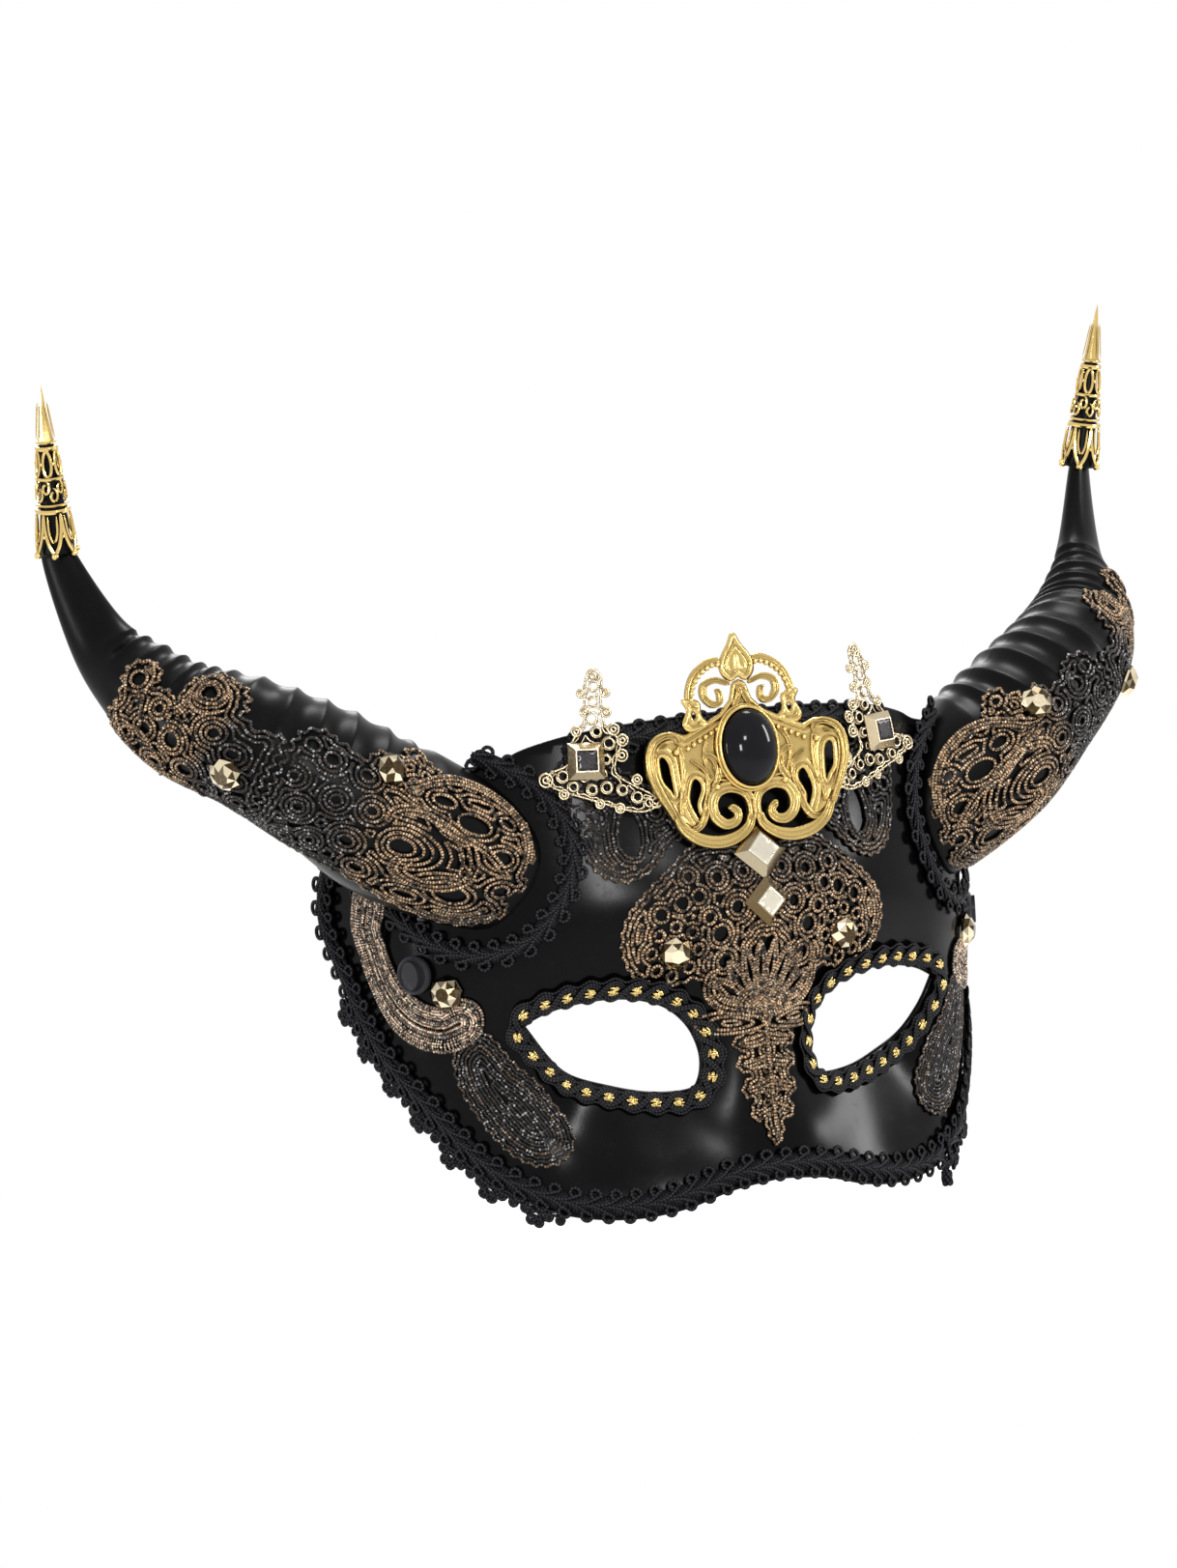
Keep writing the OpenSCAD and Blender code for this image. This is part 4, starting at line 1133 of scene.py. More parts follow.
class MASK_OT_gimp(MaskPiece, bpy.types.Operator):
    """Black scroll gimp along the edges, down both sides and round the feet of the horns"""
    bl_idname = "mask.gimp"
    bl_label = "Gimp"

    def wing(self, b):
        """Edge run from the top of a wing round its end and down to a bearing."""
        face = self.face
        wing_z = (face.top_z(WING_END) + face.bottom_z(WING_END)) / 2
        top = face.flat([[97, wing_z + 16], [100.2, wing_z + 8.5], [100.2, wing_z - 1.5]])
        return np.vstack([top, rim_at(face, np.append(np.arange(94, b - 1, -6), b), EDGE_INSET)])

    def build(self):
        face = self.face
        b = np.linspace(-33, 33, 40)
        top = face.flat(np.column_stack([b, face.top_z(b) - EDGE_INSET]))
        under = rim_at(face, np.append(np.arange(4, 42, 6), 45.6), EDGE_INSET)
        lower = smooth(np.vstack([self.wing(2) * [-1, 1], under]), 1)
        width = self.t["gimp_width"]
        runs = [("top_gimp", "top_braid", top, width, 1),
                ("lower_gimp", "lower_braid", lower, width, 1),
                ("right_side_gimp", "right_side_braid", smooth(self.wing(46.4)[::-1], 1),
                 width, 1)]
        for name, side in SIDES.items():
            ring = np.array(HORN_FOOT)
            ring[:, 0] = turned_out(ring[:, 0], RIGHT_SHIFT if side > 0 else 0)
            runs.append((f"{name}_horn_gimp", f"{name}_horn_braid", smooth(face.flat(ring), 1),
                         HORN_GIMP_WIDTH, side))
        for name, node, path, wide, side in runs:
            work = Work()
            gimp(work, face, path, wide, self.t, side)
            work.make(name, self.fin["gimp"](), replaces=[node])
        self.roll()

    def roll(self):
        """The end of the gimp, rolled up and left hanging at the right cheek."""
        b, strands = 44.0, 5
        p = self.face.place(b, self.face.bottom_z(b) - 1.6, TRIM_LO + 0.85) - [0, 0, 5]
        plane = Plane(p, [1, 0, 0], [0, 0, 1])
        work = Work()
        turn = np.linspace(0, 1, 14)
        for k in range(strands):
            w = 2 * math.pi * k / strands + 2.4 * turn
            path = np.column_stack([0.95 * np.cos(w), 4.4 * turn])
            sweep(work, plane, path, 0.95 * np.sin(w), 0.62)
        work.make("gimp_end_roll", self.fin["gimp"](), replaces=["trim_end"])


# Loops of the edging, past a place on it: along, out and radius.
LARGE_PICOT = [(0, 2.6, 1.15), (-1.9, 2.1, 0.95), (1.9, 2.1, 0.95), (-1.0, 4.1, 1.0),
    (1.0, 4.1, 1.0)]
SMALL_PICOT = [(0, 1.9, 0.95)]
PICOT_PITCH = 3.1


class MASK_OT_picots(MaskPiece, bpy.types.Operator):
    """Knotted picot edging that sticks out past the lower edge and up the sides"""
    bl_idname = "mask.picots"
    bl_label = "Picot edging"

    def build(self):
        for name, side in SIDES.items():
            guide = Guide(smooth(rim_at(self.face, np.arange(44, 97.1, 2), -0.2), 1) * [side, 1])
            hand = -side
            work = Work()
            k = np.arange(0, guide.length, 0.6)
            for c in (0.2, 1.2):
                sweep(work, self.face, guide.at(k, hand * (c + 0.2 * np.sin(k * 1.9))), 0.7, 0.5)
            w = np.radians(np.arange(0, 360, 36))
            tie = np.array([-0.8, -0.3, 0.3, 0.8])
            at, i = 1.2, 0
            while at < guide.length - 1:
                for ds, c, r in LARGE_PICOT if i % 4 == 2 else SMALL_PICOT:
                    loop = guide.at(at + ds + r * np.cos(w), hand * (c + r * np.sin(w)))
                    sweep(work, self.face, loop, 0.75 + 0.25 * np.cos(w + i), 0.56, closed=True)
                    across = guide.at(at + ds + r * tie, hand * (c + 0 * tie))
                    sweep(work, self.face, across, 0.95, 0.5)
                at += PICOT_PITCH
                i += 1
            work.make(f"{name}_picots", self.fin["gimp"](),
                      replaces=[f"{name}_picot_edging"])


# Bars of a gold knot: turn in degrees, place across, half length and extra height.
KNOT_BARS = ((0, -0.78, 1.35, 0.0), (0, -0.26, 1.6, 0.3), (0, 0.26, 1.6, 0.3),
    (0, 0.78, 1.35, 0.0), (90, 0.0, 1.1, 0.55), (70, 0.0, 1.0, 0.45))


class MASK_OT_eye_trim(MaskPiece, bpy.types.Operator):
    """Trim round the eyes: paired black cords that cross between bright gold knots"""
    bl_idname = "mask.eye_trim"
    bl_label = "Eye trim"

    def build(self):
        face, half = self.face, self.t["eye_trim_width"] / 2
        for name, side in SIDES.items():
            hole = walk(face.flat(face.eye_bz(1)), 0.5, closed=True)
            out = sideways(hole, closed=True)
            grow = -1 if inside(hole[:1] + 2 * out[:1], hole)[0] else 1
            ring = evened(hole + grow * out * (0.1 + half), 14)
            guide = Guide(ring * [side, 1], closed=True)
            knots = 2 * int(round(guide.length / self.t["eye_trim_pitch"] / 2))
            pitch = guide.length / knots
            s = np.linspace(0, guide.length, knots * 16, endpoint=False)
            w = np.pi * s / pitch
            work = Work()
            for hand in (-1, 1):
                for pair in (-0.44, 0.44):
                    c = (hand * ((half - 0.95) * np.sin(w))
                         + pair * np.cos(0.25 * np.pi * np.sin(w)))
                    c = np.sign(c) * np.minimum(abs(c), half - 0.45)
                    h = TRIM_LO + 0.62 + 0.42 * hand * np.cos(w)
                    sweep(work, face, guide.at(s, c), h, 0.56, 0.54, closed=True)
            for c in (-0.84, 0.84):
                edge = c * half - np.sign(c) * 0.5 * np.cos(2 * np.pi * s / pitch)
                sweep(work, face, guide.at(s, edge), TRIM_LO + 0.35, 0.42, closed=True)
            sweep(work, face, guide.at(s, 0 * s), TRIM_LO + 0.1, 1.6, 0.25, closed=True)
            work.make(f"{name}_eye_cords", self.fin["gimp"](),
                      replaces=[f"{name}_eye_braid"])
            self.beads(name, guide, knots, pitch)

    def beads(self, name, guide, knots, pitch):
        """Gold knots between the crossings, each of a few short bright bars."""
        beads = Work()
        k = np.linspace(-1, 1, 9)
        for i in range(knots):
            mid = (i + 0.5) * pitch
            for j, (turn, across, reach, lift) in enumerate(KNOT_BARS):
                w = math.radians(turn + 7 * ((i * 7 + j * 3) % 5 - 2))
                x, y = reach * k, across * np.ones(9)
                path = guide.at(mid + x * math.cos(w) - y * math.sin(w),
                                x * math.sin(w) + y * math.cos(w))
                lifts = TRIM_LO + 0.7 + lift + 0.5 * (1 - k ** 2)
                sweep(beads, self.face, path, lifts, 0.36, ends=(0.4, 0.9))
        beads.make(f"{name}_eye_knots", self.fin["cap_gold"]())


# Patterns for the lace, flat, from the nose line out or along a horn. A hole is its middle
# and radius, or an outline. Those of the centre are right halves.
CENTRE_LOBE = [[6, 14], [9.5, 10.2], [15, 9.6], [18, 12.4], [23.5, 11.2], [29, 12], [34.5, 13.8],
    [38.2, 18.5], [39.4, 24.5], [37.6, 30.5], [33, 35.6], [28.4, 39.4], [23, 43.5], [17.5, 47],
    [8, 47], [0, 46.4]]
CENTRE_HOLES = [(12.9, 37.6, 1.2), (18.4, 33.4, 1.3), (12.8, 23.4, 1.8), (11.2, 16.4, 1.5),
    (15.9, 27.8, 1.1), (22.9, 32.2, 1.5), (28.6, 29.8, 1.4), (8.2, 29.8, 1.4), (20.6, 38.6, 1.0),
    (5.6, 38.6, 0.9)]
LEAF = [[0, -33.2], [1.8, -31.6], [2.9, -28.4], [3, -26], [4.6, -26.6], [6.6, -24.8],
    [6.4, -22.2], [5.3, -20.4], [7.4, -20], [8.3, -17.4], [7, -15.2], [5.6, -13.8], [7.8, -13.2],
    [8.9, -10.8], [7.4, -8.6], [5.6, -8.2], [8.4, -7.4], [9.3, -5], [7, -2.9], [3, -2.2],
    [0, -2.2]]
FAN_PETALS = [(6, 20.6, 1.9), (19, 20.4, 2.0), (33, 19.4, 2.1), (48, 18, 2.2), (63, 16.6, 2.1)]
FAN_WING = [[0, 0.4], [6, 2], [11, 3.6], [14.4, 6.8], [15.8, 10.4], [15.2, 13.8], [12.8, 14.6],
    [12.2, 12.4]]
LEAF_VEINS = [(-3.4, -6, 7.6), (-9, -12, 7.4), (-15.4, -18.6, 7), (-21.4, -25, 5.4)]
FOREHEAD = [[19, 49.5], [24.4, 46], [28.4, 41.8], [33.4, 39], [39, 38.8], [43.6, 41.6],
    [46.6, 46.4], [48.4, 52.5], [49.6, 60], [51, 66], [50.4, 71], [45, 72], [38, 70], [30.5, 66],
    [24, 60], [20, 55]]
FOREHEAD_HOLES = [[[35, 56.8], [36.6, 52], [36.6, 48], [35, 45.6], [32.8, 45.4], [31.2, 48.6],
    [31, 53], [32.6, 56.6]], (41.6, 62, 1.2), (45.6, 57, 1.2), (45.4, 65.6, 1.3),
    (36.8, 63.2, 1.1), (41.2, 67, 0.9), (30.8, 61.4, 1.0), (41.8, 56.6, 0.9), (26.2, 56.2, 0.9)]
CHEEK = [[80.1, 3.2], [76.7, 6], [71.6, 2.6], [67.4, -3.8], [62, -9.4], [58.2, -15.5],
    [55, -21.2], [55.4, -27], [60.2, -31], [67, -31.4], [73.2, -28], [77.4, -22.8], [80.8, -16.8],
    [83.4, -10.8], [84.4, -4.8], [83.4, 0.4]]
CRESCENT = [[83.5, 40], [85.2, 34], [84.6, 26], [80.4, 17], [72.2, 9.4], [64, 6.2], [59, 7.6]]
HORN_ROOT = [[12, -22], [8, -17.5], [12.6, -13], [7.4, -9.5], [11.8, -5], [7.6, -1], [12.4, 3.4],
    [10, 8], [15.4, 11], [22, 13.4], [26.6, 11.6], [28, 15.4], [31.4, 18.8], [35.8, 20],
    [39.6, 17.4], [41.4, 13], [44.8, 11.4], [46.6, 7.4], [51, 8.2], [55, 9.8], [59, 8.4],
    [61.6, 4.4], [62, -10], [61.6, -30], [54, -31], [47, -29.4], [40, -26.6], [33, -25.4],
    [27, -27], [20, -28], [14, -25]]
HORN_ROOT_HOLES = [(31, -8.4, 1.7), (22.8, 2.8, 2.0), (17.4, -3.6, 1.5), (21.6, -16.4, 1.9),
    (26.4, -21, 1.0), (17, 6, 1.1), (44.2, 3, 1.0), (47.4, -6, 0.9), (52.4, 2.6, 1.3),
    (40, -14, 1.2), (46.6, -20, 0.9), (54, -12, 0.9), (34.6, -19.6, 1.1), (57.4, 4, 1.1),
    (52.4, -24, 0.8), (14.8, -12, 1.2), (27.6, 6.4, 1.2), (39.6, -4, 0.9), (58, -5, 0.8)]
HORN_TIP = [[62.6, -30], [62.4, -12], [62.6, 3], [67.4, 2.2], [70.4, 4], [70.8, 9], [73.2, 13.6],
    [79, 16.4], [84.6, 12.8], [87.6, 7.4], [88, 2.4], [92, 4.2], [95.6, 2.2], [96.6, 6],
    [100.6, 8], [104.4, 5.4], [105.2, 0], [102.6, -5.4], [103.4, -11], [101, -17.4], [96, -19.8],
    [90, -22.4], [81, -24.8], [72, -27.4]]
HORN_TIP_HOLES = [(84.6, -7, 1.8), (80.4, -14, 1.6), (75.8, -18.6, 1.0), (92.2, -8, 1.3),
    (97, -12.6, 1.2), (100.6, 1.2, 1.7), (79.4, 8, 1.7), (70.4, -6, 0.9), (66.4, -20, 0.8),
    (88, -16, 1.0), (68, -13, 0.8), (75, -2, 1.0), (91, -1.6, 1.0)]


# Cords over the lace of a horn's root, each with its number of rows, and over its tip's.
ROOT_SCROLLS = [
    ([[35, 4], [31, 8.4], [26, 12], [21, 12.4], [16.5, 9.6], [13.6, 4], [13.2, -3]], 3),
    ([[36, 3], [31, 1.5], [26, -1.4], [21, -3.2], [16, -8]], 2),
    ([[34.6, -4.6], [34.2, -1.4], [30, 0.4], [26, -1], [23.4, -5.4], [22.8, -11], [25.4, -14.6],
     [28.6, -13.8], [28.4, -10.6]], 3)]
TIP_SCROLLS = [
    [[93, -8], [96, -2], [98, 4], [101, 7], [104, 4], [103.6, 0], [101, -3]],
    [[92, -18], [96, -14], [100, -10], [102, -5.4]],
    [[84, -20], [88, -12], [94, -9], [98, -13], [96, -17]],
    [[76, -24], [80, -18], [86, -18], [87, -22]]]


def petals(x, y, reach, r, n):
    """Small round holes set in a ring, which the rows of lace turn into petals."""
    turns = [2 * math.pi * k / n for k in range(n)]
    return [(x + reach * math.cos(w), y + reach * math.sin(w), r) for w in turns]


class MASK_OT_centre_lace(MaskPiece, bpy.types.Operator):
    """Bronze lace between the eyes: two lobes, a fan, a bow and a leaf down the nose"""
    bl_idname = "mask.centre_lace"
    bl_label = "Centre lace"

    def build(self):
        face, pitch, cord = self.face, self.t["lace_pitch"], self.t["lace_cord"]
        tone = lambda p, row: 0.12 + 0.88 * ease((45 - p[:, 1]) / 18)
        lobes = np.array(CENTRE_LOBE)
        outline = np.vstack([lobes, lobes[-2::-1] * [-1, 1], [[-2.5, 20.6], [2.5, 20.6]]])
        holes = CENTRE_HOLES + petals(24.8, 20.2, 6.2, 0.85, 8)
        holes += [(-x, z, r) for x, z, r in holes]
        work = Work()
        lace(work, face, outline, holes, pitch, cord, tint=tone)
        lace(work, face, both_halves(LEAF), [(0, -8, 0.5), (0, -18, 0.4)], pitch, cord,
             tint=lambda p, row: 0.95 + 0 * p[:, 0])
        self.fan(work, cord)
        work.make("centre_lace_cords", self.fin["bronze"](),
                  replaces=["centre_lace"])

    def fan(self, work, cord):
        """Shell-shaped fan of long petals over a knotted bow, and the veins of the leaf."""
        face = self.face
        for side in (-1, 1):
            u = np.linspace(0, 1, 30)
            for k, (w, reach, half) in enumerate(FAN_PETALS):
                a = math.radians(w)
                for inner in (1.0, 0.48):
                    wide = inner * half * np.sin(np.pi * u ** 1.25) ** 0.8
                    out = np.column_stack([reach * u * (0.94 + 0.06 * inner), wide])
                    loop = np.vstack([out, (out * [1, -1])[-2:0:-1]])
                    x = side * (loop[:, 0] * math.sin(a) + loop[:, 1] * math.cos(a))
                    z = 0.4 + loop[:, 0] * math.cos(a) - loop[:, 1] * math.sin(a)
                    path = walk(np.column_stack([x, z]), 0.7, closed=True)
                    sweep(work, face, path, 1.1 + 0.12 * (k % 2), cord, closed=True, tint=0.8)
            path = smooth(FAN_WING, 0.6)
            for shift in (0.0, 1.1, 2.2):
                cut = (path + shift * sideways(path))[:-3]
                sweep(work, face, cut * [side, 1], 1.35, cord, tint=1.0)
            u = np.linspace(0, 2 * np.pi, 44, endpoint=False)
            for size in (1.0, 0.62, 0.25):
                bow = 2.7 * size * np.sin(u) * (1 + 0.3 * np.cos(u))
                loop = np.column_stack([8.6 + 8.4 * size * np.cos(u), -0.6 + bow])
                loop[:, 1] += 0.1 * (loop[:, 0] - 2)
                sweep(work, face, loop * [side, 1], 1.3, cord, closed=True, tint=0.9)
            for z0, z1, reach in LEAF_VEINS:
                for k in (0.0, 1.3, 2.6):
                    vein = smooth([[0, z0 - k], [reach * 0.5, z0 - 1.2 - k * 0.8],
                                   [reach - k * 0.7, z1 - k * 0.5 + 1]], 0.6)
                    sweep(work, face, vein * [side, 1], 1.1, cord * 0.9, tint=1.0)
        rib = np.column_stack([np.zeros(46), np.linspace(0.8, -32.4, 46)])
        sweep(work, face, rib, 1.35, cord * 1.15, tint=1.0)
        for k in range(4):
            knot = oval(0, -0.2, 0.9, 0.5 + 0.3 * k, np.radians(np.arange(0, 360, 30)))
            sweep(work, face, knot, 1.5 + 0.1 * k, cord, closed=True, tint=1.0)


STITCH_LIFT = np.array([0.7, 1.0, 1.1, 1.0, 0.7])    # heights along one satin stitch


class MASK_OT_side_lace(MaskPiece, bpy.types.Operator):
    """Black forehead laces, light temple crescents and dark cheek paisleys"""
    bl_idname = "mask.side_lace"
    bl_label = "Side lace"

    def build(self):
        face, pitch, cord = self.face, self.t["lace_pitch"], self.t["lace_cord"]
        for name, side in SIDES.items():
            work = Work()
            lace(work, face, FOREHEAD, FOREHEAD_HOLES, pitch, cord, side=side,
                 tint=lambda p, row: 0.05 + 0.3 * ease((50 - p[:, 1]) / 10))
            work.make(f"{name}_forehead_cords", self.fin["bronze"](),
                      replaces=[f"{name}_forehead_lace"])
            work = Work()
            self.crescent(work, side, cord)
            work.make(f"{name}_crescent_cords", self.fin["light"](),
                      replaces=[f"{name}_temple_crescent"])
            work = Work()
            lace(work, face, CHEEK, (), 0.86 * pitch, 0.9 * cord, side=side,
                 tint=lambda p, row: (0.22 if row in (0, 3) else 0.04) + 0 * p[:, 0])
            work.make(f"{name}_cheek_cords", self.fin["bronze"](),
                      replaces=[f"{name}_cheek_lace"])

    def crescent(self, work, side, cord):
        """Satin stitches set square across a curved band, with a cord between the rows and one
        round the edge."""
        spine = walk(smooth(self.face.flat(CRESCENT), 0.8), 0.6)
        out = sideways(spine)
        half = (4.9 + 1.2 * np.linspace(-1, 1, len(spine)) ** 2)[:, None]
        w = np.radians(np.arange(7, 180, 7))[:, None]
        foot, ray = [], []
        for hand, last, before in ((1, -1, -2), (-1, 0, 1)):
            ahead = unit(spine[last] - spine[before])
            foot += [spine[::hand], spine[last] + 0 * w]
            round_end = hand * np.cos(w) * out[last] + np.sin(w) * ahead
            ray += [hand * (half * out)[::hand], half[last] * round_end]
        foot, ray = np.vstack(foot) * [side, 1], np.vstack(ray) * [side, 1]
        lift = 1.5 * ease((foot[:, 1] - 27) / 8)
        for k, (a, b) in enumerate(zip(foot, ray)):
            for start, stop in ((0.02, 0.27), (0.37, 0.96)):
                reach = np.linspace(start, stop + 0.03 * (k % 2), 5)[:, None]
                sweep(work, self.face, a + reach * b, lift[k] + STITCH_LIFT, 0.36, tint=1.0)
        for share, tone in ((0.32, 0.25), (1.0, 0.6)):
            sweep(work, self.face, foot + share * ray, 0.7 + lift, cord, closed=True, tint=tone)


class MASK_OT_horn_lace(MaskPiece, bpy.types.Operator):
    """Lace over the front of each horn: bronze flowers and paisleys, black glitter between"""
    bl_idname = "mask.horn_lace"
    bl_label = "Horn lace"

    def build(self):
        pitch, cord = self.t["lace_pitch"], self.t["lace_cord"]
        flower = petals(36.4, 11.6, 4.7, 0.9, 6)
        for name, horn in self.horns.items():
            tone = lambda p, row: (0.06 + 0.94 * ease((46 - p[:, 0] + 0.25 * p[:, 1]) / 12)
                                   * (0.45 + 0.55 * ease((p[:, 0] + 0.5 * p[:, 1] - 5) / 9)))
            work = Work()
            lace(work, horn, HORN_ROOT, HORN_ROOT_HOLES + flower, pitch, cord, tint=tone,
                 frill=0.85)
            for points, rows in ROOT_SCROLLS:
                path = smooth(points, 0.6)
                for k in range(rows):
                    sweep(work, horn, path - 1.05 * k * sideways(path), 1.15, cord, tint=1.0)
            work.make(f"{name}_horn_root_cords", self.fin["bronze"](),
                      replaces=[f"{name}_horn_root_lace"])
            tone = lambda p, row: 0.06 + 0.9 * ease((p[:, 0] - 70 + 0.4 * p[:, 1]) / 9)
            work = Work()
            lace(work, horn, HORN_TIP, HORN_TIP_HOLES, pitch, cord, tint=tone, frill=0.85)
            turn = np.radians(np.arange(0, 680, 14))
            size = 6.6 - 5.0 * turn / turn[-1]
            coil = oval(79.4, 8, size, size, turn + 3.6)
            sweep(work, horn, coil, 1.15, cord, tint=0.9)
            for path in TIP_SCROLLS:
                sweep(work, horn, smooth(path, 0.6), 1.15, cord, tint=1.0)
            work.make(f"{name}_horn_tip_cords", self.fin["bronze"](),
                      replaces=[f"{name}_horn_tip_lace"])


CROWN_Z = 70             # height of the middle of the crown
CROWN_LEAN = 0.036       # how far it leans back for each millimetre up
CROWN_TOUCH = 79         # height at which it stands closest to the face
BIG_PANEL = [[0, 17.5], [1.7, 16.8], [3, 12.6], [6.4, 9.2], [11.6, 6.8], [17.4, 4.4], [19.4, 5.2],
    [21.2, 5.8], [23.6, 5.4], [26.7, 3.8], [28.7, 0.4], [28.9, -4.6], [27, -9.8], [24.4, -14.4],
    [22.6, -17.6], [20.6, -19.3], [18, -20.5], [15.6, -19.5], [13.2, -14.5], [11, -10], [9, -8],
    [4, -9], [0, -9.5]]
SPADE = [[0, 29.6], [1.7, 26.8], [3.6, 24.2], [4.7, 21.6], [4.3, 19.4], [2.7, 17.8], [1.4, 17.9],
    [0, 18.8]]
DROPS = [
    [[25.5, -1.1], [24.2, -0.2], [22.8, -2], [22.3, -5.9], [22.2, -10.3], [23.4, -8.9],
     [25.2, -6.2]],
    [[17.2, -8.3], [15.9, -6.5], [14.3, -7.6], [14.2, -9.8], [15.8, -13.5], [15, -18],
     [16.9, -15.9], [18.1, -12]]]
LEAF_BUD = [[16.8, 13.6], [15.6, 11], [17.2, 7.4], [15.6, 5.6], [12.7, 5.8], [10.2, 6.8],
    [12.1, 9.1], [12.2, 12.4], [14.4, 13.6]]
# Raised strokes of the crown: path, half width at the middle, and half height.
CROWN_STROKES = [
    ([[2.5, 16.6], [6.7, 18], [10.1, 16.9], [10.5, 14], [8.3, 11.9], [6.1, 12.4], [6.1, 14.9],
     [7.3, 15.6]], 0.85, 0.75),
    ([[19.7, 2.2], [20.4, 4.3], [23.2, 5], [26.5, 3.6], [28.2, 0.4], [28.3, -4.6], [26.4, -9.8],
     [24, -14.4], [22.8, -17]], 1.0, 0.95),
    ([[13.4, -0.6], [10.4, -1.6], [9, -4.6], [9.8, -7.5], [11.6, -9.9]], 0.9, 0.8),
    ([[22.8, -15.2], [20.8, -19.3], [16.7, -22.2], [11.2, -23.4], [6, -22.5], [2.2, -20],
     [0.9, -16.4]], 1.5, 1.0),
    ([[0.9, -19], [0.8, -14], [2.6, -11], [6.5, -9.6], [10.2, -10.6], [12, -13.6], [11.5, -16.9],
     [8.9, -19], [6, -18.6], [4.9, -16.9], [5.9, -15.2], [7.4, -15]], 1.4, 0.85),
    ([[13.6, -12], [14.4, -16], [16.4, -19], [19, -19.6]], 0.9, 0.9),
    ([[9.4, 5], [12, 1.6], [12.4, -3], [10.6, -7.4]], 0.55, 0.55),
    ([[19.8, 2.4], [19.2, -1.4], [19.4, -7], [20.8, -12.6], [21.2, -16.4]], 0.7, 0.6),
    ([[22.6, 3], [26.6, 1.2], [27, -4], [25.2, -9.6], [23, -13.6]], 0.5, 0.6),
    ([[7.6, -1], [10, -3.6], [9.6, -6]], 0.45, 0.5),
    ([[16.9, -1.6], [12.8, -5], [12.8, -10], [14, -14], [13.6, -17]], 0.55, 0.6)]
BEAD_ARC = [[4.4, 22.4], [7, 22.9], [10.4, 21.5], [13.1, 19], [14.6, 15.7], [15, 12.8]]
BUD_HOLE = [[14 + 0.9 * math.cos(w), 9.4 + 1.3 * math.sin(w)]
            for w in np.linspace(0, 6.2832, 13)[:-1]]


def relief(d, p):
    """Height of a stamped plate from its edge in: a raised double border round a low field."""
    return (0.6 + 0.5 * bell((d - 0.55) / 0.32) - 0.25 * bell((d - 1.2) / 0.28)
            + 0.38 * bell((d - 1.85) / 0.3))


def spade_relief(d, p):
    """The same, raised, with a short rib up its middle."""
    return relief(d, p) + 0.25 + 0.35 * bell(p[:, 0] / 0.5) * bell((p[:, 1] - 22) / 3)


def ball(work, surface, x, y, r, h):
    """A cast bead of radius r, with its middle at height h over a surface."""
    (c,), (n,) = (v for v in surface.lay(np.array([[x, y]], float), [h]))
    side = unit(np.cross(n, [0.3, 0.2, 0.9]))
    up = np.cross(n, side)
    rows, cols = 7, 12
    v = np.linspace(-0.5, 1, rows)[:, None] * math.pi / 2
    w = np.linspace(0, 2 * math.pi, cols, endpoint=False)[None]
    p = (c + r * (np.cos(v) * np.cos(w))[..., None] * side
         + r * (np.cos(v) * np.sin(w))[..., None] * up
         + r * (np.sin(v) * np.ones_like(w))[..., None] * n)
    base = np.arange(cols)[::-1]
    work.add(p, quads=bands(rows, cols),
             tris=[[base[0], base[j], base[j + 1]] for j in range(1, cols - 1)])


